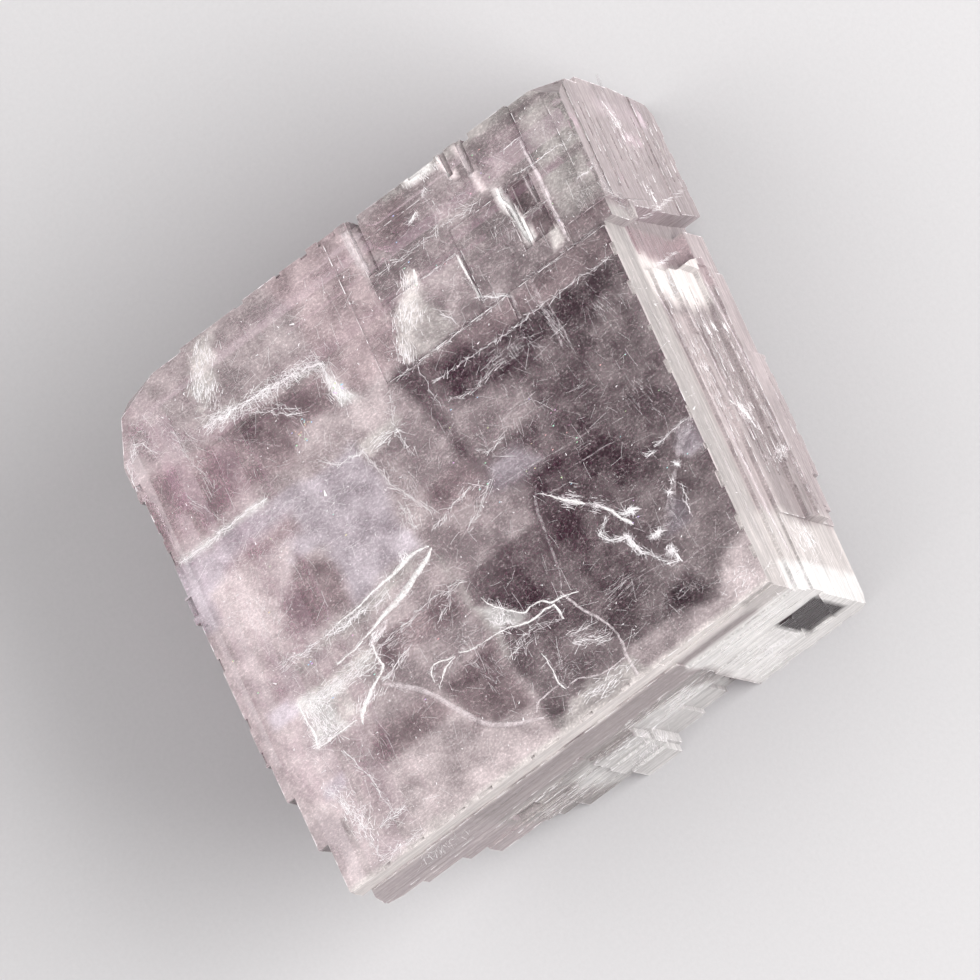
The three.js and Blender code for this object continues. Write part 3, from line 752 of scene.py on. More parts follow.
def cloudy(tree, cover):
    """Soft clouds with faint streaks, patches of crack webs and a fine grain."""
    places = crystal_places(tree)
    clouds = add_node(tree, "ShaderNodeTexNoise", {
        "Vector": places["mm"], "Scale": CLOUDS, "Detail": 3.0, "Roughness": 0.6,
    })
    streaks = add_node(tree, "ShaderNodeTexNoise", {
        "Vector": drawn_out(tree, places, *STREAKS, 1.0), "Scale": 1.0, "Detail": 2.0, "Roughness": 0.7,
    })
    grain = add_node(tree, "ShaderNodeTexNoise", {
        "Vector": drawn_out(tree, places, *GRAIN, 1.0), "Scale": 1.0, "Detail": 2.0, "Roughness": 0.85,
    })
    milk = work_in(tree, cover, "MULTIPLY", clouds, (0.32, 0.68), (0.72, 1.28))
    milk = work_in(tree, milk, "ADD", clouds, (0.42, 0.7), (0.0, 0.13))
    milk = work_in(tree, milk, "ADD", streaks, (0.5, 0.8), (0.0, 0.04))
    milk = work_in(tree, milk, "MULTIPLY", grain, (0.3, 0.7), (0.82, 1.18))
    milk = work_in(tree, milk, "ADD", grain, (0.52, 0.8), (0.0, 0.14))
    webs = crack_webs(tree, places, grain)
    return add_node(tree, "ShaderNodeMath", {0: milk, 1: webs}, operation="ADD", use_clamp=True)


milky_face = milky_skin("milky_cleavage_face", cloudy, 0.35)
print(milky_face.name, "has", len(milky_face.node_tree.nodes), "nodes")

# %% [markdown]
# ## Frosted lamella edges
# On the sides the milk runs in stripes, because every lamella broke with its own roughness. The
# noise hardly changes along a layer and changes fast from one to the next. Broken edges are a
# little rougher than the face, so their sheen is duller.

# %% Frosted lamella edges
SIDE_CLOUDS = (0.09, 0.09, 0.16)   # clouds per mm along u, v and w
STRIPES = (0.03, 0.03, 0.9)        # stripes per mm
FROST = (0.7, 0.7, 2.6)            # grains per mm


def striped(tree, cover):
    """Faint clouds, and stripes along the lamellae, some millimetres wide and some hair fine."""
    places = crystal_places(tree)
    clouds = add_node(tree, "ShaderNodeTexNoise", {
        "Vector": drawn_out(tree, places, *SIDE_CLOUDS), "Scale": 1.0, "Detail": 2.0, "Roughness": 0.6,
    })
    stripes = add_node(tree, "ShaderNodeTexNoise", {
        "Vector": drawn_out(tree, places, *STRIPES), "Scale": 1.0, "Detail": 4.0, "Roughness": 0.8,
    })
    frost = add_node(tree, "ShaderNodeTexNoise", {
        "Vector": drawn_out(tree, places, *FROST), "Scale": 1.0, "Detail": 1.0, "Roughness": 0.8,
    })
    milk = work_in(tree, cover, "MULTIPLY", clouds, (0.32, 0.68), (0.9, 1.1))
    milk = work_in(tree, milk, "MULTIPLY", stripes, (0.34, 0.66), (0.8, 1.2))
    return work_in(tree, milk, "ADD", frost, (0.5, 0.8), (-0.03, 0.14), use_clamp=True)


give_finishes(skin, milky_face, milky_skin("frosted_lamella_edges", striped, 0.4))

# %% [markdown]
# ## White slivers
# Every white line on the crystal, from a hair scratch to a healed crack, is made of the same
# small thing: a sliver of crushed calcite, a few hundredths of a millimetre wide. A straight one
# is a three-sided cone with its tip cut off. They are opaque, because at their width the picture
# itself blends them with the clear crystal beside them. They are laid in small batches, since
# every operator walks the whole shape.

# %% A straight sliver
TAPER = 0.3                        # a sliver's tip over its foot


def straight_sliver(shape, start, end, width, taper):
    """A tapered three-sided sliver from one point to another."""
    reach = end - start
    turn = reach.to_track_quat("Z", "X").to_matrix().to_4x4()
    place = Matrix.Translation((start + end) / 2) @ turn
    bmesh.ops.create_cone(
        shape, cap_ends=True, segments=3, radius1=width / 2, radius2=width / 2 * taper,
        depth=reach.length, matrix=place,
    )


trial = bmesh.new()
straight_sliver(trial, Vector((0, 0, 0)), Vector((1, 0, 0)) * MM, 0.1 * MM, TAPER)
print("a straight sliver has", len(trial.faces), "faces")
trial.free()

# %% [markdown]
# ## Dropping slivers onto the crystal
# The lines are planned flat, as seen from above, and the crystal has steps. A ray shot straight
# down finds the height of each end. A sliver that would bridge a step or stick out past an edge
# is left out, because its middle would hang in the air.

# %% Dropping slivers onto the crystal
SLIVER_HEIGHT = 0.03               # mm above the crystal: the slivers lie in the scuffed skin
RAY_HEIGHT = 10                    # mm above the top, where the rays start
BRIDGE = 0.25                      # mm; a sliver whose middle is farther off would bridge a step
body_faces = [face.vertices for face in body.data.polygons]
surface_tree = BVHTree.FromPolygons([vert.co for vert in body.data.vertices], body_faces)


def drop(x, y):
    """The place on the crystal straight below a point east and north of the blunt corner.

    It lies a sliver's height above the surface. Points beside the crystal give None.
    """
    spot, normal, _, _ = surface_tree.ray_cast(on_top(x, y, RAY_HEIGHT), Vector((0, 0, -1)))
    return spot and spot + normal * SLIVER_HEIGHT * MM


def lies_flat(start, end):
    """Whether a sliver between two places lies on the crystal and doesn't bridge a step."""
    return bool(start and end) and surface_tree.find_nearest((start + end) / 2)[3] < BRIDGE * MM


print("a sliver in the middle lies at", tuple(drop(-30, 40)))

# %% [markdown]
# ## Bundles
# A thousand slivers as a thousand objects would be slow and hard to handle, so each kind of mark
# is one piece: a bundle that rides on the crystal.

# %% Bundles
BATCH = 120                        # slivers laid before they join the whole


def finish_bundle(name, whole, material):
    """Turns a gathered shape into a piece that rides on the crystal."""
    mesh = bpy.data.meshes.new(name)
    whole.to_mesh(mesh)
    whole.free()
    piece = bpy.data.objects.new(name, mesh)
    bpy.context.scene.collection.objects.link(piece)
    mesh.materials.append(material)
    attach(piece, "root")
    print(name, sum(len(face.vertices) - 2 for face in mesh.polygons), "triangles")
    return piece


def bundle(name, slivers, material):
    """One piece made of many straight slivers."""
    whole = bmesh.new()
    for first in range(0, len(slivers), BATCH):
        shape = bmesh.new()
        for start, end, width, taper in slivers[first:first + BATCH]:
            if lies_flat(start, end):
                straight_sliver(shape, start, end, width, taper)
        bmesh.ops.recalc_face_normals(shape, faces=shape.faces)
        part = bpy.data.meshes.new("part")
        shape.to_mesh(part)
        shape.free()
        whole.from_mesh(part)
        bpy.data.meshes.remove(part)
    finish_bundle(name, whole, material)


def fibre(middle, half, width):
    """A fibre's ends, width and taper from its middle and half its run, seen from above."""
    return drop(*(middle - half)), drop(*(middle + half)), width * MM, TAPER


print("slivers are laid", BATCH, "at a time")

# %% [markdown]
# ## Crushed calcite
# Where calcite is crushed, light is scattered by countless tiny faces, so it looks snow white
# and nearly matt. A slow change of tone, about 3 mm from one to the next, keeps long cracks from
# looking drawn with one pen.

# %% Crushed calcite
crushed, tree, output = new_material("crushed_white_calcite")
tone = add_node(tree, "ShaderNodeTexNoise", {
    "Vector": crystal_places(tree)["mm"], "Scale": 0.3, "Detail": 1.0,
})
tone = add_node(tree, "ShaderNodeMix", {
    "Factor": tone, "A": linear("#e9dfe3"), "B": linear("#ffffff"),
}, out=2, data_type="RGBA")
powder = add_node(tree, "ShaderNodeBsdfPrincipled", {"Base Color": tone, "Roughness": 0.6})
tree.links.new(powder, output.inputs["Surface"])
print(crushed.name, "has", len(tree.nodes), "nodes")

# %% [markdown]
# ## Bent hairs
# The face is covered with hair-fine scratches. Seen closely they are nearly all bent, so each is
# a small triangle spun along an arc. Spinning thousands of them would take long, so two dozen
# are spun, from hardly to strongly bent, and copied.

# %% Bent hairs
BENDS = 24
BENT = (0.02, 0.45)                # radians of the straightest hair, and what the bends add to it
ARC_STEPS = 5
THINNESS = 0.012                   # usual width of a scratch over its length
SPREAD = 0.35                      # how much the widths differ
FOOT, RIDGE = 0.3, 0.4             # how far a hair reaches below and above its seat, in widths


def bent_sliver(shape, seat, length, bend, width):
    """A sliver along an arc. The seat's X points along it, its Z away from the surface."""
    radius = length / bend
    triangle = [seat @ Vector(point) for point in (
        (0, -width / 2, -width * FOOT), (0, width / 2, -width * FOOT), (0, 0, width * RIDGE)
    )]
    verts = [shape.verts.new(point) for point in triangle]
    face = shape.faces.new(verts)
    bmesh.ops.spin(
        shape, geom=verts + face.edges[:] + [face], cent=seat @ Vector((0, radius, 0)),
        axis=seat.to_3x3().col[2], angle=bend, steps=ARC_STEPS, dvec=(0, 0, 0),
        use_merge=False, use_duplicate=False,
    )


def bent_hairs():
    """Slivers 1 mm long, from hardly to strongly bent, each spun once as its own mesh."""
    made = []
    for number in range(BENDS):
        shape = bmesh.new()
        bend = BENT[0] + BENT[1] * number / BENDS
        width = chance.lognormvariate(math.log(THINNESS), SPREAD)
        bent_sliver(shape, Matrix.Scale(MM, 4), 1.0, bend, width)
        bmesh.ops.recalc_face_normals(shape, faces=shape.faces)
        hair = bpy.data.meshes.new("hair")
        shape.to_mesh(hair)
        shape.free()
        made.append(hair)
    return made


hairs = bent_hairs()
print(len(hairs), "hairs of", len(hairs[0].polygons), "faces")

# %% [markdown]
# ## Hair scratches on the top face
# The scratches are a few millimetres long and run in every direction, but more of them along the
# two cleavage directions, where calcite gives way most easily. Milky places hold more than clear
# ones. Each is a copy of a bent hair, stretched to its length and dropped onto the crystal.

# %% Hair scratches
SCRATCHES = 2600
SCRATCH_LENGTH = (0.3, 0.5)        # middle and spread of the logarithm of its length in mm
LONGEST_SCRATCH = 3.4              # mm
MARGIN = 0.5                       # mm that marks keep from the rim
CLEAR_SHARE = 0.4                  # share of the scratches kept where the crystal is clear
STRAY_SHARE = 0.6                  # share that ignores the cleavage directions
CLEAVAGE_TURNS = (0, 78, 180, 258) # degrees from east
CLEAVAGE_STRAY = 9                 # degrees
ACROSS_TOP = (-80, 16), (0, 81)    # mm east and north that hold the whole top face
TOP_OUTLINE = [(-79, 0.5), (-70.5, 68), (-66, 77), (-48, 80), (16, 80), (14.5, 64), (-0.2, 0.5)]


def scratch_seat(x, y, turn, length, flip):
    """Where a 1 mm scratch goes: a place on the top face, a turn from east, its length and side."""
    side = Matrix.Rotation(math.pi * flip, 4, "X")
    stretch = Matrix.Diagonal((length, math.sqrt(length), 1, 1))
    return Matrix.Translation(drop(x, y)) @ Matrix.Rotation(math.radians(turn), 4, "Z") @ side @ stretch


def scratch_turn():
    """A direction in degrees: any at all, or close to one of the cleavage directions."""
    if chance.random() < STRAY_SHARE:
        return chance.uniform(0, 360)
    return chance.choice(CLEAVAGE_TURNS) + chance.gauss(0, CLEAVAGE_STRAY)


whole = bmesh.new()
laid = 0
while laid < SCRATCHES:
    x, y = [chance.uniform(*reach) for reach in ACROSS_TOP]
    length = min(chance.lognormvariate(*SCRATCH_LENGTH), LONGEST_SCRATCH)
    cover, _ = top_milk(Vector((x, y, 0)))
    if depth_inside(TOP_OUTLINE, x, y) < MARGIN + length or chance.random() > CLEAR_SHARE + cover:
        continue
    turn = scratch_turn()
    hair = chance.choice(hairs).copy()
    hair.transform(scratch_seat(x, y, turn, length, chance.random() < 0.5))
    whole.from_mesh(hair)
    bpy.data.meshes.remove(hair)
    laid += 1
for hair in hairs:
    bpy.data.meshes.remove(hair)
finish_bundle("hair_scratches", whole, crushed)

# %% [markdown]
# ## Smooth cracks and ridges
# Some cracks healed as smooth bands: white where they are open, a veil where they closed again.
# The risers of the small terraces look alike from above, as straight bright bands, and on them
# the band is a painted highlight. The material is again a pale surface with a patchy alpha,
# because a healed crack is nearly clear where it closed and milky where it didn't. The patches
# are about a millimetre wide.

# %% Finishes of the bands
def crack_band(name, colour, thin, thick):
    """A healed crack: a broken veil, nearly clear where it closed and milky where it didn't."""
    material, tree, output = new_material(name)
    patches = add_node(tree, "ShaderNodeTexNoise", {
        "Vector": crystal_places(tree)["mm"], "Scale": 1.1, "Detail": 4.0, "Roughness": 0.75,
    })
    cover = add_node(tree, "ShaderNodeMapRange", {
        "Value": patches, "From Min": 0.4, "From Max": 0.6, "To Min": thin, "To Max": thick,
    })
    scuff = add_node(tree, "ShaderNodeBsdfPrincipled", {
        "Base Color": linear(colour), "Roughness": 0.4, "Alpha": cover,
    })
    tree.links.new(scuff, output.inputs["Surface"])
    return material


open_crack = crack_band("open_crack_white", "#fdfaf9", 0.35, 1.0)
veil = crack_band("healed_crack_veil", "#f6ebee", 0.1, 0.42)
faint_veil = crack_band("faint_crack_veil", "#f3e8ec", 0.0, 0.2)
print("bands:", open_crack.name, veil.name, faint_veil.name)

# %% [markdown]
# ## A band
# Each band is a curve through a few points with a width at each of them. Blender's own curve
# bevel makes a closed tube of it, which is then pressed flat into the skin. A fine noise frays
# its borders, because a crack's border is never clean.

# %% A band
PRESSED = 0.1                      # how flat a band is pressed
CURVE_STEPS = 6                    # pieces of curve between two points
RAG = 0.16                         # mm, how ragged the borders of a band are
RAG_SIZE = 0.7                     # mm from one notch to the next
SAME_PLACE = 0.0005 * MM           # corners of a band closer than this become one


def band(points):
    """A flat band through points on the top face, each with its own width."""
    path = bpy.data.curves.new("path", "CURVE")
    path.dimensions = "3D"
    path.bevel_depth = MM / 2
    path.bevel_resolution = 0
    path.resolution_u = CURVE_STEPS
    path.use_fill_caps = True
    spline = path.splines.new("BEZIER")
    spline.bezier_points.add(len(points) - 1)
    for knot, (x, y, width) in zip(spline.bezier_points, points):
        knot.co = Vector((x, y, 0)) * MM
        knot.radius = width
        knot.handle_left_type = knot.handle_right_type = "AUTO"
    holder = bpy.data.objects.new("path", path)
    mesh = bpy.data.meshes.new_from_object(holder)
    for vert in mesh.vertices:
        x, y, thick = vert.co / MM + noise.noise_vector(vert.co / (RAG_SIZE * MM)) * RAG
        vert.co = (drop(x, y) or on_top(x, y)) + Vector((0, 0, thick * PRESSED * MM))
    bpy.data.objects.remove(holder)
    bpy.data.curves.remove(path)
    return mesh


def band_piece(name, bands, material):
    """One piece made of many bands. It throws no shadow, as the skin that it lies in."""
    whole = bmesh.new()
    for _, points in bands:
        mesh = band(points)
        whole.from_mesh(mesh)
        bpy.data.meshes.remove(mesh)
    bmesh.ops.remove_doubles(whole, verts=whole.verts, dist=SAME_PLACE)
    bmesh.ops.recalc_face_normals(whole, faces=whole.faces)
    print(name, "open edges", sum(not edge.is_manifold for edge in whole.edges))
    finish_bundle(name, whole, material).visible_shadow = False


print("a band has", CURVE_STEPS, "steps between two points")

# %% [markdown]
# ## Open cracks
# The whitest bands: the two edges of the blade, the comet, and the risers that stand on edge.
# On the risers the white band is a painted highlight, where they catch the light.

# %% Open cracks
WHITE_BANDS = [
    # name, points in mm with the width at each
    ("lower edge of the blade", [
        (-39.9, 34.7, 0.2), (-41.6, 33.7, 0.7), (-44, 32.9, 0.95), (-47, 31.8, 1.0), (-49.5, 31.2, 0.9),
        (-52, 30.8, 0.7), (-54, 30.2, 0.45), (-56.4, 29.8, 0.15),
    ]),
    ("upper edge of the blade", [
        (-40.1, 35.2, 0.2), (-41.6, 35.5, 0.4), (-43, 35.6, 0.75), (-45, 35.3, 0.8), (-47, 34.9, 0.6),
        (-49, 34.8, 0.4), (-51.5, 34.5, 0.24), (-54, 34.1, 0.26), (-57, 34, 0.2), (-61, 33.5, 0.1),
    ]),
    ("end of the blade", [(-56.5, 29.6, 0.15), (-58, 29.3, 0.3), (-60, 29.2, 0.2), (-61.8, 29, 0.3)]),
    ("kinked line", [
        (-55.7, 28.4, 0.3), (-56.1, 27, 0.35), (-56.2, 25.8, 0.35), (-56.5, 24.6, 0.45),
        (-57.5, 23.9, 0.3),
    ]),
    ("foot of the kinked line", [
        (-57.6, 23.9, 0.25), (-59.5, 23.1, 0.5), (-61, 22.2, 0.7), (-63, 20.9, 0.7), (-64, 19.6, 0.2),
    ]),
    ("fan's lower edge", [(-64.4, 20.7, 0.15), (-68, 20.6, 0.25), (-71.6, 20.6, 0.2)]),
    ("fan's western edge", [
        (-71.4, 20.8, 0.3), (-70.7, 22.6, 0.35), (-70.4, 25, 0.25), (-70, 27.8, 0.3),
    ]),
    ("arch of the wing", [
        (-51.6, 18.2, 0.1), (-51.2, 19.5, 0.16), (-50.2, 20.3, 0.2), (-49, 20.2, 0.3), (-48, 19.8, 0.22),
        (-46.8, 19.6, 0.12),
    ]),
    ("lower line of the wing", [
        (-51.4, 17.2, 0.1), (-50.2, 18, 0.16), (-49.2, 18.8, 0.36), (-48.2, 19.1, 0.2),
        (-46.8, 19.4, 0.12),
    ]),
    ("wing to the wedge", [
        (-46, 19.6, 0.1), (-44.6, 19, 0.26), (-43, 18.7, 0.2), (-40, 18.5, 0.14), (-37.6, 18.1, 0.2),
        (-36, 17.4, 0.3), (-34, 16.9, 0.3), (-32, 17.1, 0.34), (-30.4, 16.9, 0.3),
    ]),
    ("edge of the wedge", [
        (-38.4, 24.2, 0.12), (-38, 22.7, 0.2), (-37, 21.2, 0.22), (-35.3, 19.2, 0.22),
        (-34.6, 18.6, 0.3), (-33, 18.7, 0.2), (-31.4, 18.4, 0.3), (-30.4, 17.4, 0.35),
        (-28.6, 17.1, 0.25), (-26.1, 16.3, 0.15),
    ]),
    ("drop below the wedge", [(-30.3, 17, 0.3), (-30.2, 15.8, 0.45), (-30.4, 14.3, 0.3)]),
    ("little box", [(-36, 12.2, 0.1), (-36.3, 9, 0.16), (-36.6, 6.9, 0.24), (-36.4, 5.8, 0.16)]),
    # painted highlight: white bands on the risers, down to the rim's riser
    ("side of the small terrace", [(-10.7, 67.6, 0.45), (-11.1, 64.8, 0.5), (-11.7, 60.5, 0.4)]),
    ("riser by the feather", [(-17.2, 69.8, 0.3), (-17.7, 68.6, 0.7), (-18.3, 67.6, 0.4)]),
    ("edge of the dark rhomb", [
        (0.1, 72.1, 0.5), (-0.4, 70.4, 0.6), (-0.1, 69, 0.8), (-0.2, 67, 0.9), (-0.5, 65, 0.9),
        (-0.5, 62.8, 0.7),
    ]),
    ("rim's riser", [(-4.4, 81.4, 0.4), (-4.5, 79, 0.45), (-4.6, 77.2, 0.3)]),
    ("comet", [
        (-22.2, 31.7, 0.08), (-21, 30.4, 0.16), (-20, 29, 0.36), (-19, 27.9, 0.6), (-18.2, 27, 0.75),
        (-17.5, 26.3, 0.15),
    ]),
    ("comet's end", [
        (-16, 24.6, 0.1), (-15.2, 23.5, 0.45), (-14.7, 22.2, 0.5), (-14.4, 21.2, 0.4), (-13.7, 20, 0.6),
        (-13.5, 19.4, 0.1),
    ]),
    ("bright slot of the frost", [(9.6, 25.8, 0.2), (10.2, 23.6, 0.5), (10.6, 21.6, 0.2)]),
]
band_piece("open_cracks", WHITE_BANDS, open_crack)

# %% [markdown]
# ## Healed bands
# Broader and paler: the long smile in the south-west, the steps of the panes, the ridges of the
# terraces and the borders of the frosted plate on the east side. On the ridges and risers of
# the terraces the pale band is a painted highlight.

# %% Healed bands
VEIL_BANDS = [
    # name, points in mm with the width at each
    ("long smile", [
        (-57.8, 22.6, 0.4), (-56.6, 21.4, 0.9), (-55.2, 20, 0.9), (-54, 18.6, 0.9), (-53, 17, 0.8),
        (-52.2, 15.4, 0.8), (-51.6, 13.6, 0.9), (-50.9, 12, 0.95), (-50, 10.2, 0.95), (-49, 8.6, 0.9),
        (-48, 7.6, 0.9), (-46.4, 6.5, 0.8), (-44.6, 5.5, 0.8), (-43, 4.8, 0.7), (-41.6, 4.2, 0.4),
    ]),
    ("blade's lower flank", [(-56, 28.2, 0.4), (-54.6, 29, 1.2), (-53, 29.5, 1.3), (-51.6, 30, 0.4)]),
    ("step down to the south", [
        (-28.4, 18, 0.3), (-27.9, 16, 0.35), (-27.1, 13.4, 0.45), (-26.1, 11.4, 0.5), (-25.4, 9.2, 0.4),
        (-25.3, 7, 0.35), (-26, 4.4, 0.45), (-26.4, 1, 0.5),
    ]),
    ("box top", [(-36.6, 6.8, 0.25), (-39, 6.7, 0.3), (-41, 6.4, 0.3), (-42, 5.4, 0.2)]),
    ("box foot", [
        (-36.4, 5.7, 0.2), (-34, 5.8, 0.3), (-32.6, 5.1, 0.35), (-30.6, 4.3, 0.3), (-26.4, 4.2, 0.3),
    ]),
    ("notch line", [(-7.8, 58, 0.6), (-8.2, 56.2, 0.7), (-8.7, 54.3, 0.5)]),
    # painted highlight: pale bands on the ridges and risers, down to the slanted riser
    ("long slanted ridge", [
        (7.4, 76.3, 0.5), (6.8, 74, 0.7), (6.5, 72, 0.6), (6.2, 70, 0.8), (5.5, 67, 0.8), (5, 64.6, 0.7),
        (4.6, 62, 0.8), (4.2, 59.2, 0.6),
    ]),
    ("its bright edge", [(7.1, 76, 0.2), (6.6, 73, 0.3), (6, 69, 0.2), (5.2, 65, 0.25), (4.5, 61, 0.2)]),
    ("ridge beside it", [(4.5, 71.5, 0.4), (4.1, 69.4, 0.4), (3.6, 66.4, 0.25)]),
    ("slanted riser", [(-0.9, 80.8, 0.9), (-1.5, 78, 1.1), (-1.9, 75.6, 0.8)]),
    ("border of the frosted plate", [
        (17.9, 43.6, 0.3), (17.2, 40, 0.5), (16.3, 34, 0.4), (15.2, 27, 0.45), (14, 20, 0.4),
        (12.9, 14.6, 0.5),
    ]),
    ("foot of the frosted plate", [
        (12.9, 14.6, 0.4), (11.8, 14.2, 0.3), (11, 15.2, 0.5), (9.6, 14.6, 0.3), (8.6, 16, 0.4),
    ]),
    ("border of the smooth band", [
        (10.4, 46.6, 0.4), (9.6, 40, 0.3), (8.4, 33, 0.5), (7.2, 26, 0.3), (5.8, 18, 0.4), (4.2, 9, 0.5),
        (3, 2, 0.4),
    ]),
    ("plate's inner line", [
        (12.6, 41, 0.15), (11.7, 35, 0.3), (10.6, 29, 0.4), (9.9, 24, 0.5), (9, 18.6, 0.2),
    ]),
    # painted highlight: a pale band on the western riser
    ("western riser", [(-22.1, 80.4, 1.7), (-22.7, 77, 1.7), (-23.2, 73, 1.2)]),
]
band_piece("healed_bands", VEIL_BANDS, veil)

# %% [markdown]
# ## Faint bands
# Cracks that closed almost fully. They hardly show alone, but together they give the clear panes
# their depth.

# %% Faint bands
FAINT_BANDS = [
    # name, points in mm with the width at each
    ("smile's inner line", [
        (-56.4, 21, 0.12), (-54.2, 18.6, 0.2), (-52.4, 16, 0.14), (-51.4, 13, 0.2), (-49.8, 10, 0.12),
        (-47.8, 7.3, 0.2), (-44, 5.2, 0.12),
    ]),
    ("branch off the step", [(-34.6, 11.4, 0.2), (-34.2, 10.2, 0.4), (-35, 8.5, 0.25)]),
    ("double streak", [(-3.9, 58.2, 0.5), (-4.9, 54, 0.8), (-5.5, 50, 0.6), (-6.2, 47, 0.3)]),
    ("streak beside it", [(-4, 54, 0.2), (-4.6, 49, 0.35), (-5.2, 45, 0.15)]),
    # painted highlight: a faint band on a riser
    ("faint northern riser", [(-9.3, 78.6, 0.3), (-9.5, 76, 0.4), (-9.9, 73.6, 0.25)]),
    ("pink line of the comet", [
        (-22.2, 31.3, 0.12), (-20, 30.6, 0.25), (-17.8, 30.3, 0.2), (-15, 30.1, 0.15),
    ]),
    ("line in the middle", [(-15.6, 32, 0.12), (-13, 31.6, 0.25), (-10, 31.4, 0.2), (-7.6, 31, 0.12)]),
    ("slanted border of the dark", [
        (-21.6, 33, 0.2), (-23.4, 30.6, 0.4), (-24.6, 27, 0.35), (-25.6, 23.6, 0.4), (-26.8, 20, 0.3),
        (-28, 18, 0.2),
    ]),
    ("upper line of the middle", [(-29, 36, 0.15), (-22, 35.8, 0.3), (-15, 35, 0.25), (-9, 34.6, 0.15)]),
    ("tail of the comet", [(-17.8, 26.6, 0.4), (-16.6, 25.2, 0.7), (-15.6, 24.2, 0.6), (-15, 23, 0.3)]),
    ("veil by the sparks", [(-10.4, 15.8, 0.6), (-8.4, 17.4, 1.6), (-6.4, 19.4, 1.2), (-3.4, 22.4, 0.5)]),
    ("veil to the east", [(-3, 22.8, 0.4), (-1, 24.6, 1.2), (1.6, 26.4, 1.4), (3.2, 27.4, 0.6)]),
    ("line in the smooth band", [
        (8.6, 47, 0.2), (7.4, 40, 0.4), (6.2, 33, 0.3), (4.8, 26, 0.5), (3.4, 19, 0.3), (1.8, 11, 0.4),
        (0.6, 5, 0.3),
    ]),
    ("second line in the frost", [
        (14.4, 41, 0.3), (13.6, 36, 0.5), (12.6, 30, 0.3), (11.6, 24, 0.5), (10.6, 18, 0.3),
    ]),
    ("third line in the frost", [(15.8, 38, 0.3), (14.8, 31, 0.4), (13.6, 24, 0.3), (12.4, 17.6, 0.3)]),
    ("line in the outer layer", [(13.8, 22, 0.3), (12.2, 13, 0.5), (11, 7, 0.3)]),
    ("line over the blunt corner", [(7.4, 16, 0.3), (6, 9, 0.5), (4.8, 3, 0.6), (4.2, 0, 0.3)]),
    ("line in the northern block", [(22.4, 77, 0.3), (21, 70, 0.5), (19.6, 62, 0.4)]),
    ("southern stroke", [(-24, 12.6, 0.1), (-20, 13.4, 0.25), (-16, 13, 0.15)]),
    ("stroke below it", [(-23, 11.8, 0.1), (-19, 12.6, 0.2), (-13.6, 12.2, 0.1)]),
    ("south-eastern stroke", [(-12, 10.2, 0.1), (-8, 10.4, 0.2), (-1, 10, 0.12)]),
    ("north-western crack", [(-57, 68.4, 0.15), (-53.6, 65, 0.3), (-49, 60.4, 0.15)]),
]
band_piece("faint_bands", FAINT_BANDS, faint_veil)

# %% [markdown]
# ## Healed cracks
# The bright veins are cracks that healed or stayed open, and their borders are feathered. Each is
# given as a line of points on the top face. Its core is a chain of slivers, and around it lie
# fibres that lean away from it, denser close by. A painted line could not have that feather.

# %% Cracks of the blade, the fan and the south
SOUTHERN_CRACKS = [
    # name, core width in mm, fibres per mm, reach of the fibres in mm, points in mm
    ("crumbs along the blade's top", 0.1, 7, 0.4, [(-62, 33.4), (-66, 33.8), (-69, 33.6)]),
    ("crumbs inside the blade", 0.16, 7, 0.35, [
        (-60, 33.4), (-57.6, 33), (-56, 33.4), (-52.6, 33.2), (-51, 32.6), (-49, 33.6),
    ]),
    ("upper edge of the fan", 0.14, 9, 0.7, [(-55.6, 27.8), (-60, 27), (-66, 26.4), (-69, 27.4)]),
    ("brow of the fan", 0.1, 6, 0.5, [(-56.4, 25.6), (-58.6, 25.4), (-61.4, 26)]),
    ("arm of the kinked line", 0.2, 6, 0.4, [(-57.6, 23), (-56, 23.4), (-54, 24.2), (-51.6, 24.4)]),
    ("cross line", 0.06, 3, 0.3, [
        (-40.6, 14.4), (-38, 14.8), (-36.6, 15.8), (-34.6, 15.8), (-32.4, 15.2), (-31, 14.4),
    ]),
    ("lower cross line", 0.06, 2, 0.3, [(-38, 13.4), (-37, 14.4), (-34.8, 14.5)]),
    ("tuft by the step", 0.12, 9, 0.5, [(-31.2, 10.6), (-29.4, 9.8), (-28.2, 9), (-26, 8.4)]),
    ("tuft above it", 0.08, 6, 0.4, [(-30.8, 11.8), (-29, 11.2), (-27, 11)]),
    ("lower branch", 0.4, 10, 0.3, [
        (-18.4, 21.2), (-18, 20.2), (-17.2, 19.3), (-15.4, 18.7), (-15.2, 17), (-15, 15.4),
        (-14.4, 14.6),
    ]),
    ("branch's tail", 0.16, 6, 0.3, [(-14.4, 14.6), (-13.6, 13), (-12.6, 11.6), (-11.4, 11)]),
    ("hook of the branch", 0.14, 6, 0.25, [(-16.3, 22.8), (-17.2, 21.9), (-18.6, 21.2)]),
    ("arms of the branch", 0.4, 10, 0.35, [(-14.2, 22.2), (-13.2, 21.2), (-12.2, 21.5), (-11.4, 21)]),
    ("eastern line", 0.12, 3, 0.15, [(-4, 27.1), (-3, 26.9), (-1.6, 27.1), (0.4, 27.4), (3.4, 27.4)]),
    ("crumb by the eastern line", 0.3, 10, 0.2, [(-5.8, 26.5), (-4.5, 26.4)]),
    ("zigzag", 0.1, 3, 0.15, [(-5.6, 15.9), (-5.2, 17.4), (-4.6, 18.8), (-4.2, 20)]),
]
print(len(SOUTHERN_CRACKS), "southern cracks")

# %% [markdown]
# ## Cracks along the terraces
# The foot of every riser is a crack too, thin and straight, because it follows a cleavage plane.

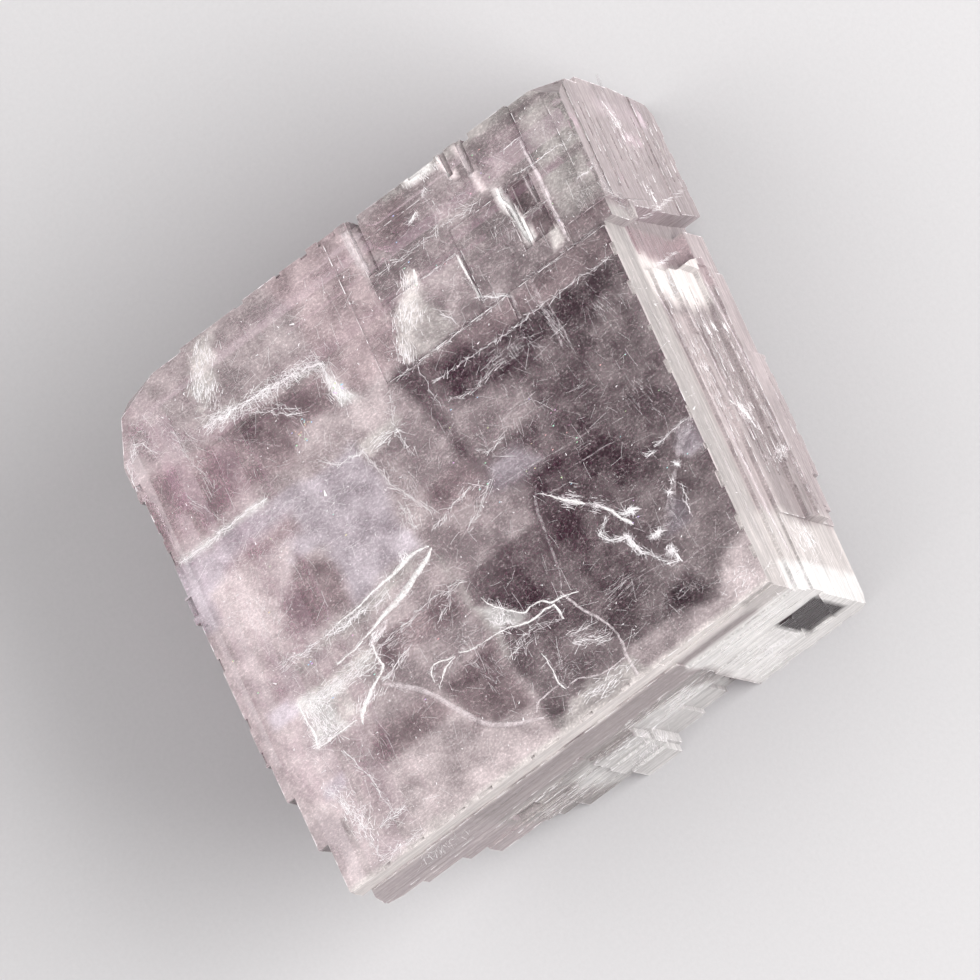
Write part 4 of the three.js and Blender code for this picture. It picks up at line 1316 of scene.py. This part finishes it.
# %% Cracks along the terraces
TERRACE_CRACKS = [
    # name, core width in mm, fibres per mm, reach of the fibres in mm, points in mm
    ("foot of the terraces, west", 0.07, 2, 0.15, [(-28.6, 58.2), (-24, 58.1), (-14, 58.1), (-9, 58.3)]),
    ("foot of the terraces, east", 0.07, 2, 0.15, [(-4.6, 58.4), (0, 58.4), (4, 58.4), (9, 58.3)]),
    ("corner of the notch", 0.3, 6, 0.2, [(-11.7, 60.4), (-10.4, 59.4), (-8.8, 58.8), (-8, 58.2)]),
    ("crumb on the small terrace", 0.12, 6, 0.2, [(-17.8, 61.8), (-17.2, 60.6), (-16.8, 59.8)]),
    ("top of the small terrace", 0.06, 1, 0.1, [(-16.8, 68), (-10.7, 67.9)]),
    ("second terrace line", 0.14, 1, 0.1, [(3.8, 72.1), (9, 71.8), (14.8, 71.7)]),
    ("third terrace line", 0.1, 1, 0.1, [(3.8, 76.2), (7.3, 76.3)]),
    ("line over the rhombs", 0.06, 2, 0.15, [(0.4, 66.6), (3.6, 66.2), (5, 66.2)]),
    ("shelf line", 0.06, 2, 0.15, [(-25, 54.4), (-10, 53.8), (-4, 54), (7.6, 53.8)]),
    ("ridge by the eastern rim", 0.4, 6, 0.3, [
        (14.4, 67.4), (14, 66), (13.6, 64), (13.3, 62), (13.9, 60.6), (14, 58), (13.7, 56.4),
    ]),
    ("shelf by the eastern rim", 0.14, 4, 0.2, [(10.8, 66.1), (14, 66)]),
    ("line across the north", 0.05, 2, 0.3, [(-22, 72.2), (-10, 72.4), (-3, 72.2)]),
    ("crumbs in the north", 0.26, 10, 0.25, [(-13.4, 75.8), (-11.8, 76.2)]),
    ("crumbs by the rim", 0.2, 10, 0.3, [(-9.4, 78), (-8.4, 78.2)]),
]
print(len(TERRACE_CRACKS), "cracks along the terraces")

# %% [markdown]
# ## Cracks in the west and between the panes
# Here lie the strongest vein, the jagged brow, and the finest creases and crescents.

# %% Cracks in the west and between the panes
WESTERN_CRACKS = [
    # name, core width in mm, fibres per mm, reach of the fibres in mm, points in mm
    ("jagged brow", 0.5, 16, 0.75, [
        (-56.4, 69.4), (-52, 69.2), (-49, 68.8), (-46.4, 68.5), (-43.8, 68.3), (-40.6, 67.8),
        (-38, 67.2), (-36.6, 66.8), (-37.2, 65), (-38, 62.8),
    ]),
    ("roof in the north-west", 0.16, 4, 0.3, [
        (-70.4, 68), (-69, 71.6), (-66.6, 73.4), (-65.4, 73), (-64.4, 70.4),
    ]),
    ("fan line", 0.1, 2, 0.15, [(-48.8, 66.8), (-46, 64.2), (-43.4, 62.2)]),
    ("second fan line", 0.07, 1, 0.15, [(-47.4, 66.4), (-45.2, 64.4), (-43.6, 62.4)]),
    ("third fan line", 0.06, 1, 0.15, [(-46.2, 66.4), (-43.4, 62.8)]),
    ("western crease", 0.06, 2, 0.3, [(-60.8, 72), (-61.2, 66), (-60.4, 60.8)]),
    ("crease beside it", 0.06, 1, 0.3, [(-64.8, 63), (-63.6, 59), (-62.2, 56.4)]),
    ("line of the lilac band", 0.3, 3, 0.2, [(-71.6, 55.3), (-66, 55.3), (-60, 55.5), (-55.4, 55.4)]),
    ("step by the lilac band", 0.12, 4, 0.3, [(-45.6, 55), (-43.6, 53), (-39.6, 52.6), (-39.6, 50.4)]),
    ("south-western streak", 0.18, 3, 0.25, [(-68.6, 18), (-67.8, 12), (-68, 7.2)]),
    ("outer south-western streak", 0.1, 4, 0.4, [(-73.8, 15), (-73.2, 8), (-73.6, 1.6)]),
    ("tuft in the south-west", 0.08, 9, 0.6, [(-73.6, 7.4), (-72, 8.6), (-71, 9.8)]),
    ("low streak", 0.2, 8, 0.4, [(-66.4, 5.9), (-71, 5.7)]),
    ("south-western border", 0.12, 5, 0.4, [(-74, 1.5), (-66, 1.3)]),
    ("line past the blade's tip", 0.08, 4, 0.3, [(-27, 37.4), (-30.4, 35.2), (-34, 33.8)]),
    ("arch past the blade's tip", 0.06, 4, 0.3, [(-38, 37), (-34, 37.6), (-30, 38.6), (-27.6, 37.4)]),
    ("border of the dark pane", 0.07, 3, 0.25, [(-31, 57), (-33.4, 53), (-33.9, 47.4)]),
    ("lower border of the dark pane", 0.09, 4, 0.3, [
        (-39.4, 50.4), (-39.2, 46), (-37.6, 42), (-36.6, 38.6),
    ]),
    ("crumbled border", 0.1, 8, 0.5, [(-40, 42.4), (-39.6, 40), (-40.4, 38.4)]),
    ("inner border", 0.06, 1, 0.2, [(-25.4, 57.6), (-25.9, 54), (-26.2, 50.6)]),
    ("wavy line in the dark pane", 0.05, 2, 0.2, [
        (-24.4, 51), (-21, 49.8), (-17.6, 50.6), (-14.6, 50.8),
    ]),
    ("hooked line", 0.06, 2, 0.2, [(-25.8, 42.6), (-24.6, 41), (-21, 41.8)]),
    ("crescent under the blade", 0.07, 3, 0.25, [
        (-55.6, 27.2), (-50, 27.8), (-44, 28.6), (-41.6, 28), (-38.8, 27.8),
    ]),
    ("lower crescent", 0.06, 2, 0.2, [(-46, 25), (-42.8, 26.4), (-41.8, 28)]),
    ("line by the tip of the box", 0.05, 1, 0.2, [(-45.8, 18), (-45.4, 16.8), (-45, 15.8)]),
]
print(len(WESTERN_CRACKS), "cracks in the west and between the panes")

# %% [markdown]
# ## Laying the cracks
# A line's points are thrown sideways a little, so that it isn't drawn smooth. A crack that is
# wider than one sliver gets several side by side.

# %% Laying the cracks
CRACK_STEP = 0.9                   # mm between the points of a crack's core
CRACK_THROW = 0.12                 # mm that they are thrown sideways
STRAND = 0.14                      # mm; a wider core gets several strands side by side
STRANDS = (0.3, 1.5)               # least and most of them, over those that would fill the core
STRAND_WIDTHS = (0.25, 1.2)        # least and most width of a strand over its usual one
CORE_SPREAD = 3.2                  # a core's width over the spread of its strands
REACH_BACK, REACH_ON = 0.3, 0.5    # most share of a stretch that a strand adds at its ends
BLUNT_TAPER = 0.6                  # a sliver of the core hardly tapers
FIBRE_STRAY = 0.55                 # radians that the fibres stray from the crack's direction
FIBRE_WIDTH = (0.03, 0.1)          # mm
FIBRE_HALF = (0.25, 1.1)           # mm, half a fibre's length


def heading(turn):
    """A flat vector 1 long in a direction in radians from east."""
    return Vector((math.cos(turn), math.sin(turn)))


def sideways(run):
    """A flat vector 1 long, square to a run."""
    return run.normalized().orthogonal()


def jagged(points, step, throw):
    """A line's points closer together, thrown sideways a little so that it isn't drawn smooth."""
    placed = [Vector(points[0])]
    for first, second in zip(points, points[1:]):
        first, second = Vector(first), Vector(second)
        steps = max(1, round((second - first).length / step))
        aside = sideways(second - first)
        for number in range(1, steps + 1):
            placed.append(first.lerp(second, number / steps) + aside * chance.gauss(0, throw))
    return placed


def core_slivers(first, second, core):
    """The slivers side by side that make one stretch of a crack's core."""
    laid, run = [], second - first
    aside = sideways(run)
    for _ in range(max(1, round(core / STRAND * chance.uniform(*STRANDS)))):
        shift = aside * chance.gauss(0, core / CORE_SPREAD) if core > STRAND else Vector((0, 0))
        thick = min(core, STRAND) * chance.uniform(*STRAND_WIDTHS)
        start = first + shift - run * chance.uniform(0, REACH_BACK)
        end = second + shift + run * chance.uniform(0, REACH_ON)
        laid.append((drop(*start), drop(*end), thick * MM, BLUNT_TAPER))
    return laid


def crack_slivers():
    """Starts, ends, widths and tapers of the slivers of all cracks."""
    laid = []
    for _, core, density, reach, points in SOUTHERN_CRACKS + TERRACE_CRACKS + WESTERN_CRACKS:
        path = jagged(points, CRACK_STEP, CRACK_THROW)
        for first, second in zip(path, path[1:]):
            laid += core_slivers(first, second, core)
            run = second - first
            for _ in range(round(density * run.length + chance.random())):
                middle = first + run * chance.random() + sideways(run) * chance.gauss(0, reach)
                turn = math.atan2(run.y, run.x) + chance.gauss(0, FIBRE_STRAY)
                half = heading(turn) * chance.uniform(*FIBRE_HALF)
                laid.append(fibre(middle, half, chance.uniform(*FIBRE_WIDTH)))
    return laid


crack_lines = crack_slivers()
print(len(crack_lines), "slivers in the cracks")

# %% [markdown]
# ## Crumbling borders
# An open crack also sheds fibres on both sides, as far out as it is wide there.

# %% Crumbling borders
CRUMBLE = 4.0                      # fibres per mm along an open crack
CRUMBLE_REACH = 0.12               # mm that they lie off it, besides half the crack's width
CRUMBLE_STRAY = 0.7                # radians that they stray from the crack's direction
CRUMBLE_WIDTH = (0.03, 0.09)       # mm
CRUMBLE_HALF = (0.1, 0.6)          # mm, half a fibre's length


def crumbling_slivers():
    """Fibres strewn along the open cracks, straying as far as the crack is wide there."""
    laid = []
    for _, points in WHITE_BANDS:
        for (x, y, width), (next_x, next_y, next_width) in zip(points, points[1:]):
            first, run = Vector((x, y)), Vector((next_x - x, next_y - y))
            for _ in range(round(CRUMBLE * run.length + chance.random())):
                share = chance.random()
                reach = CRUMBLE_REACH + 0.5 * (width + (next_width - width) * share)
                middle = first + run * share + sideways(run) * chance.gauss(0, reach)
                turn = math.atan2(run.y, run.x) + chance.gauss(0, CRUMBLE_STRAY)
                half = heading(turn) * chance.uniform(*CRUMBLE_HALF)
                laid.append(fibre(middle, half, chance.uniform(*CRUMBLE_WIDTH)))
    return laid


bundle("healed_cracks", crack_lines + crumbling_slivers(), crushed)

# %% [markdown]
# ## Crumbs
# Tiny chips lie all over the top face, more of them where it is milky. Each is a sliver about as
# wide as it is long.

# %% Crumbs
CRUMBS = 1300
CRUMB_SIZE = 0.07                  # mm, half the usual length of a crumb
CRUMB_SPREAD = 0.5                 # how much the lengths differ
CRUMB_GIRTH = 1.2                  # a crumb's width over half its length
CRUMB_SHARE = (0.25, 1.2)          # share kept where the crystal is clear, and what full milk adds


def crumbs():
    """Tiny chips all over the top face, more of them where it is milky."""
    laid = []
    while len(laid) < CRUMBS:
        x, y = [chance.uniform(*reach) for reach in ACROSS_TOP]
        cover, _ = top_milk(Vector((x, y, 0)))
        share = CRUMB_SHARE[0] + CRUMB_SHARE[1] * cover
        if depth_inside(TOP_OUTLINE, x, y) > MARGIN and chance.random() < share:
            size = chance.lognormvariate(math.log(CRUMB_SIZE), CRUMB_SPREAD)
            way = chance.uniform(0, math.pi)
            laid.append(fibre(Vector((x, y)), heading(way) * size, size * CRUMB_GIRTH))
    return laid


bundle("crumbs", crumbs(), crushed)

# %% [markdown]
# ## Glints
# Where a crack is thinner than a hair, its two walls split the light and it glints in rainbow
# colours, in spots as small as a grain of sand. A thin film could do that, but at this size only
# the colour shows, so each glint is a small coloured sliver. The hue comes from a noise, so it
# changes every millimetre.

# %% Glints
GLINT_SIZE = (0.08, 0.16)          # mm, half a glint's length
GLINT_GIRTH = 1.6                  # a glint's width over half its length
GLINTS = [
    # name, middle in mm, half width and half height in mm, how many
    ("by the brow's end", (-43.6, 61), (0.7, 0.8), 9),
    ("under the brow", (-46, 59.8), (1.2, 1.6), 8),
    ("white bruise", (-36.8, 62.4), (0.9, 0.9), 9),
    ("over the blade", (-64.6, 31.6), (0.8, 0.5), 4),
    ("middle", (-21, 42), (9, 8), 16),
    ("north-east", (-6, 70), (14, 9), 16),
    ("dark pane", (-8, 28), (10, 14), 18),
    ("west", (-60, 34), (14, 18), 14),
]
iridescent, tree, output = new_material("iridescent_glints")
hues = add_node(tree, "ShaderNodeTexNoise", {
    "Vector": crystal_places(tree)["mm"], "Scale": 0.8, "Detail": 0.0,
})
hues = add_node(tree, "ShaderNodeMapRange", {
    "Value": hues, "From Min": 0.3, "From Max": 0.7, "To Min": 0.0, "To Max": 1.0,
})
rainbow = add_node(tree, "ShaderNodeCombineColor", {"Red": hues, "Green": 0.45, "Blue": 0.9}, mode="HSV")
shine = add_node(tree, "ShaderNodeBsdfPrincipled", {"Base Color": rainbow, "Roughness": 0.3})
tree.links.new(shine, output.inputs["Surface"])


def glints():
    """Tiny coloured spots, where a crack is so thin that it splits the light."""
    laid = []
    for _, middle, half_size, many in GLINTS:
        for _ in range(many):
            away = Vector((chance.uniform(-1, 1), chance.uniform(-1, 1)))
            size = chance.uniform(*GLINT_SIZE)
            spot = Vector(middle) + away * Vector(half_size)
            laid.append(fibre(spot, Vector((size, 0)), size * GLINT_GIRTH))
    return laid


bundle("glints", glints(), iridescent)

# %% [markdown]
# ## Feathered bruises
# In some places the fibres cover an area instead of following a line: the fans, tufts and stars
# where a crack ran out. Each is an oval with a main direction, and how far the fibres stray from
# it; a star has no direction, and its fibres run out from its middle.

# %% Feathered bruises
OVAL_SPREAD = 0.5                  # spread of the fibres over the oval's half size
STAR_STRAY = 0.3                   # radians that a star's fibres stray
BRUISE_HALF = (0.1, 0.8)           # mm, half a fibre's length
BRUISES = [
    # name, middle in mm, half width and half height in mm, direction and stray in degrees, fibres
    ("north-western feather", (-53, 74), (2.2, 3.0), 52, 14, 150),
    ("feather's upper end", (-50, 78.6), (2.2, 2.2), 50, 16, 80),
    ("fringe of the brow", (-44, 67.8), (7.5, 1.0), 262, 12, 110),
    ("fringe's western end", (-53.6, 69.2), (3.2, 1.2), 20, 20, 80),
    ("feathered diagonal, low", (-25.6, 60.6), (1.4, 2.4), 62, 12, 90),
    ("feathered diagonal, middle", (-22, 65), (2.4, 2.2), 50, 14, 110),
    ("feathered diagonal, high", (-19, 68.4), (1.6, 1.6), 60, 16, 60),
    ("western fan", (-68.4, 24), (2.2, 3.4), 84, 14, 150),
    ("western fan, haze", (-63, 26.4), (6, 1.4), 8, 14, 130),
    ("western fan's foot", (-68.8, 21.2), (3.6, 0.7), 4, 10, 70),
    ("fan under the kink", (-61, 22.2), (3, 1.1), 36, 12, 60),
    ("wedge", (-38, 20), (1.8, 1.8), 70, 50, 70),
    ("comet's coat", (-19, 28), (1.6, 1.3), 314, 10, 60),
    ("comet's tail", (-16.2, 25), (1.4, 1.2), 310, 18, 50),
    ("star", (-11.4, 16.2), (1.3, 0.5), None, 0, 90),
    ("lower star", (-11.2, 12.8), (0.8, 0.9), None, 0, 90),
    ("foot of the lower star", (-11, 11.6), (0.3, 0.5), 90, 20, 24),
    ("star at the fork", (-12.6, 21.2), (1.0, 0.6), None, 0, 50),
    ("bright joint", (-15.4, 17.4), (0.6, 1.6), 88, 24, 60),
    ("spark", (-2.9, 22.9), (0.26, 0.26), None, 0, 26),
    ("second spark", (-6.3, 20.1), (0.26, 0.24), None, 0, 22),
    ("third spark", (-4.8, 21.4), (0.4, 0.2), 30, 20, 8),
    ("southern fuzz", (-31, 2.6), (4.6, 1.5), 2, 22, 130),
    ("south-western fuzz", (-73, 10), (1.8, 6), 85, 34, 110),
    ("blunt corner fuzz", (-4, 3), (4, 2.4), 8, 40, 50),
    ("bruise under the rim", (-37, 61.6), (1.2, 2.2), 75, 24, 90),
    ("crumbs on the shelf", (-36, 52.2), (3.2, 0.9), 4, 14, 60),
    ("rim crumbs", (-8.4, 80.8), (3.2, 0.7), 86, 14, 60),
    ("blade's lower flank", (-54, 29), (1.8, 0.8), 24, 12, 50),
    ("hollow of the blade", (-56, 33.2), (5, 0.6), 8, 30, 60),
    ("tip of the blade", (-44, 36.2), (0.7, 0.6), 60, 30, 26),
]


def bruise_slivers(bruises, widths):
    """Starts, ends, widths and tapers of the slivers of some bruises, for a range of widths in mm."""
    laid = []
    for _, middle, half_size, turn, stray, fibres in bruises:
        for _ in range(fibres):
            away = Vector((chance.gauss(0, OVAL_SPREAD), chance.gauss(0, OVAL_SPREAD)))
            point = Vector(middle) + away * Vector(half_size)
            if turn is None:
                way = math.atan2(away.y, away.x) + chance.gauss(0, STAR_STRAY)
            else:
                way = math.radians(turn + chance.gauss(0, stray))
            half = heading(way) * chance.uniform(*BRUISE_HALF)
            laid.append(fibre(point, half, chance.uniform(*widths)))
    return laid


bundle("feathered_bruises", bruise_slivers(BRUISES, (0.04, 0.14)), crushed)

# %% [markdown]
# ## Bruises on the sides
# The frosted plate, the lump and the corner block carry crumbs and bright slots of their own.
# The same function lays them, because a ray from above also meets the sloping sides.

# %% Bruises on the sides
SIDE_BRUISES = [
    # name, middle in mm, half width and half height in mm, direction and stray in degrees, fibres
    ("bright slot of the frost", (10.4, 23), (0.5, 2.4), 84, 8, 110),
    ("its wings", (10.8, 23), (1.2, 0.8), 110, 20, 30),
    ("white spot", (13.3, 36.4), (0.25, 0.7), 86, 6, 40),
    ("second white spot", (14.4, 36.3), (0.25, 0.6), 86, 6, 30),
    ("third white spot", (15.9, 35), (0.2, 0.5), 80, 6, 20),
    ("lower edge of the head", (13, 43.4), (2.6, 0.4), 328, 8, 60),
    ("upper edge of the head", (14.6, 48.6), (3, 0.4), 328, 8, 60),
    ("head", (12.6, 46.6), (2, 1.8), 80, 14, 90),
    ("crumbs in the frost", (9.4, 32.4), (0.8, 0.8), 80, 40, 30),
    ("crumbs below", (11.4, 14.8), (1.2, 1.2), 50, 30, 60),
    ("foot of the frost", (6.6, 2), (1.4, 2.6), 80, 16, 90),
    ("crumbs of the corner block", (2, -2), (6, 1.6), 20, 60, 110),
    ("lump", (-31, -9.6), (4.4, 1.4), 60, 30, 110),
    ("streaks over the lump", (-33, -7), (8, 1), 4, 6, 120),
    ("corner block's front", (-7, -8.6), (4, 1.6), 30, 60, 120),
    ("streaks of the hollow", (-22, -6.6), (5, 1.2), 5, 5, 90),
    ("crumbs of the ledge", (-66, -2.6), (4, 1), 0, 90, 50),
    ("north-eastern block", (18.6, 58), (0.5, 3), 84, 8, 40),
    ("upper edge of the gap", (18.6, 55.6), (4, 0.4), 330, 8, 50),
    ("rim of the block", (21, 70), (0.6, 5), 82, 5, 50),
]
bundle("bruises_on_the_sides", bruise_slivers(SIDE_BRUISES, (0.03, 0.12)), crushed)

# %% [markdown]
# ## Faint threads
# Webs and streaks as thin as a spider's thread cross the dark panes and the lilac field. They
# are bruises with the thinnest fibres.

# %% Faint threads
THREADS = [
    # name, middle in mm, half width and half height in mm, direction and stray in degrees, fibres
    ("streaks in the dark pane", (-5.2, 50.6), (0.8, 4.6), 97, 4, 50),
    ("streaks beside them", (-9.2, 49.6), (0.8, 4.4), 97, 5, 30),
    ("web at the top of the dark pane", (-13, 51.6), (5.5, 1.6), 0, 6, 60),
    ("posts of the web", (-13, 51.6), (5.5, 1.6), 84, 8, 60),
    ("web in the east", (2, 49), (3.2, 3.6), 94, 10, 50),
    ("web below", (-16, 41), (6.5, 2.2), 90, 60, 40),
    ("web by the middle", (-1, 34), (3.6, 4.6), 95, 10, 46),
    ("web under the comet", (-20, 13), (4.4, 2), 6, 8, 50),
    ("threads in the lower dark pane", (-14, 8), (7, 3), 100, 60, 80),
    ("threads in the little panes", (-33, 9), (4.5, 4), 4, 30, 50),
    ("upright threads there", (-44, 15), (2.4, 4), 94, 14, 60),
    ("threads above the wing", (-44, 23), (5, 4.4), 100, 70, 60),
    ("threads above the smile", (-52, 26.4), (3.6, 1.2), 10, 18, 60),
    ("pane west of the dark one", (-37, 46), (2, 4.4), 80, 50, 80),
    ("north-western rim", (-64, 74.6), (4.6, 2.2), 12, 30, 90),
    ("western crease threads", (-60, 70), (3, 3.4), 100, 16, 50),
    ("terrace threads, east", (10, 64), (3, 3), 88, 10, 40),
    ("terrace threads, middle", (-3, 66), (2.4, 3.4), 84, 14, 60),
    ("terrace threads, north", (-6, 74), (7, 2), 80, 60, 60),
    ("haze threads, west", (-65, 42), (7, 6), 44, 12, 120),
    ("lilac threads", (-56, 50), (13, 3.6), 6, 16, 110),
]
bundle("faint_threads", bruise_slivers(THREADS, (0.015, 0.045)), crushed)

# %% [markdown]
# ## Crushed edges and painted highlights
# Even a fresh cleavage edge is a little crushed, here and there along its length, and crushed
# calcite is white. The white slivers along the edges are also a painted highlight: they stand
# for the thread of light that the edges catch. A bevel would round every edge evenly, which
# looks cast. Walking along every sharp outer edge of the body and leaving a sliver now and then
# gives the same broken white line.

# %% Crushed edges and painted highlights
SHARP = math.radians(28)
LOWEST_EDGE = 0.5 * MM             # edges below this rest on the floor
CRUSH_RUN = (0.3, 2.4)             # mm, the shortest and longest crushed stretch
CRUSH_GAP = (0.2, 2.6)             # mm, the shortest and longest whole stretch between
CRUSH_WIDTH = (0.05, 0.17)         # mm
CRUSH_TAPER = 0.5
CRUSH_LEAD = 0.6                   # mm before a corner that the first stretch may start
SHORTEST = 5.0                     # mm, the shortest edge that shows it
SHORTEST_RUN = 0.15 * MM           # a stretch that the edge's end leaves shorter is dropped


def shows_crush_and_highlight(edge):
    """Whether an edge is sharp, on the outside, long and off the floor."""
    if len(edge.link_faces) != 2 or not edge.is_convex or edge.calc_face_angle() < SHARP:
        return False
    return max(vert.co.z for vert in edge.verts) >= LOWEST_EDGE and edge.calc_length() / MM >= SHORTEST


def edge_slivers():
    """Slivers along the body's sharp outer edges."""
    shape = bmesh.new()
    shape.from_mesh(body.data)
    laid = []
    for edge in filter(shows_crush_and_highlight, shape.edges):
        start, end = edge.verts[0].co, edge.verts[1].co
        length = edge.calc_length() / MM
        reach = chance.uniform(0, CRUSH_GAP[1]) - CRUSH_LEAD
        while reach < length:
            run = chance.uniform(*CRUSH_RUN)
            first = start.lerp(end, min(max(reach / length, 0), 1))
            last = start.lerp(end, min((reach + run) / length, 1))
            if (last - first).length > SHORTEST_RUN:
                laid.append((first, last, chance.uniform(*CRUSH_WIDTH) * MM, CRUSH_TAPER))
            reach += run + chance.uniform(*CRUSH_GAP)
    shape.free()
    return laid


bundle("crushed_edges_and_painted_highlights", edge_slivers(), crushed)

# %% [markdown]
# ## The floor
# The crystal lies on a pale matt board. Its felt-like tooth is far finer than a millimetre, and
# is drawn at about that size so that it shows. The board is staged: it belongs to the picture
# and not to the part. It lies a hair lower than the crystal, so that no two faces share a plane.

# %% The floor
FLOOR_SIZE = 4.0                   # metres
FLOOR_DROP = 0.3 * MM
floor_shape = bmesh.new()
bmesh.ops.create_grid(floor_shape, x_segments=1, y_segments=1, size=FLOOR_SIZE / 2)
bmesh.ops.translate(floor_shape, verts=floor_shape.verts, vec=(0, 0, -FLOOR_DROP))
floor_mesh = bpy.data.meshes.new("floor")
floor_shape.to_mesh(floor_mesh)
floor_shape.free()
floor = bpy.data.objects.new("floor", floor_mesh)
bpy.context.scene.collection.objects.link(floor)

board, tree, output = new_material("matt_pale_board")
fibres = add_node(tree, "ShaderNodeTexNoise", {
    "Vector": crystal_places(tree)["mm"], "Scale": 1.4, "Detail": 2.0, "Roughness": 0.7,
})
tooth = add_node(tree, "ShaderNodeBump", {"Height": fibres, "Strength": 0.35, "Distance": 0.05 * MM})
felt = add_node(tree, "ShaderNodeMix", {
    "Factor": fibres, "A": linear("#cecccd"), "B": linear("#d6d4d5"),
}, out=2, data_type="RGBA")
matt = add_node(tree, "ShaderNodeBsdfPrincipled", {"Base Color": felt, "Roughness": 0.9, "Normal": tooth})
tree.links.new(matt, output.inputs["Surface"])
floor_mesh.materials.append(board)
print("floor", FLOOR_SIZE, "m wide")

# %% [markdown]
# ## Light
# Clear calcite shows what is around it, so the surround is an even pale grey and the lamps are
# large and soft. The key comes from the east, low enough to draw the steps of the east side, and
# a weaker fill from the west opens the shadows.

# %% Light
SURROUND = 0.45                    # strength of the pale surround
AIM = (0, 0, 0.02)                 # metres: the lamps face the crystal's middle

world = bpy.data.worlds.new("studio")
bpy.context.scene.world = world
world.use_nodes = True
world.node_tree.nodes["Background"].inputs["Color"].default_value = linear("#f5f4f4")
world.node_tree.nodes["Background"].inputs["Strength"].default_value = SURROUND


def soft_box(name, place, size, power):
    """A square studio light at a place in metres, turned to face the crystal."""
    lamp = bpy.data.lights.new(name, "AREA")
    lamp.shape = "SQUARE"
    lamp.size = size
    lamp.energy = power
    holder = bpy.data.objects.new(name, lamp)
    holder.location = place
    holder.rotation_mode = "QUATERNION"
    holder.rotation_quaternion = (Vector(AIM) - Vector(place)).to_track_quat("-Z", "Y")
    bpy.context.scene.collection.objects.link(holder)
    print(name, size, "m wide,", power, "W")


soft_box("key_from_east", (0.6, -0.3, 0.5), 0.9, 9.8)
soft_box("fill_from_west", (-0.6, 0.42, 0.6), 1.0, 5.4)

# %% [markdown]
# ## Camera
# The crystal is seen straight from above, through a lens so long that the sides hardly converge.
# The camera is turned so that the crystal lies in the frame as it lies on its display.

# %% Camera
FOCAL = 500.0                      # mm
SENSOR = 36.0                      # mm
FRAME_WIDTH = 147.0 * MM           # what the frame takes in at the top face
VIEW_TURN = math.radians(-36.6)
FARTHEST = 20                      # metres that the camera sees

view_centre = on_top(-27.7, 36.4)
camera_data = bpy.data.cameras.new("camera")
camera_data.lens = FOCAL
camera_data.sensor_width = SENSOR
camera_data.clip_end = FARTHEST
camera = bpy.data.objects.new("camera", camera_data)
camera.location = view_centre + Vector((0, 0, FRAME_WIDTH * FOCAL / SENSOR))
camera.rotation_euler = (0, 0, VIEW_TURN)
bpy.context.scene.collection.objects.link(camera)
bpy.context.scene.camera = camera
print("camera", round(camera.location.z, 2), "m up")

# %% [markdown]
# ## How far light is followed
# Light crosses the skin, the body and the slivers many times. The limits let it through the
# stack and no further. Sharp reflected caustics are left out: they would only add bright noise.

# %% How far light is followed
scene = bpy.context.scene
scene.view_settings.view_transform = "Standard"
scene.cycles.max_bounces = 10
scene.cycles.transmission_bounces = 8
scene.cycles.transparent_max_bounces = 16
scene.cycles.glossy_bounces = 6
scene.cycles.diffuse_bounces = 3
scene.cycles.caustics_reflective = False
print("at most", scene.cycles.max_bounces, "bounces")
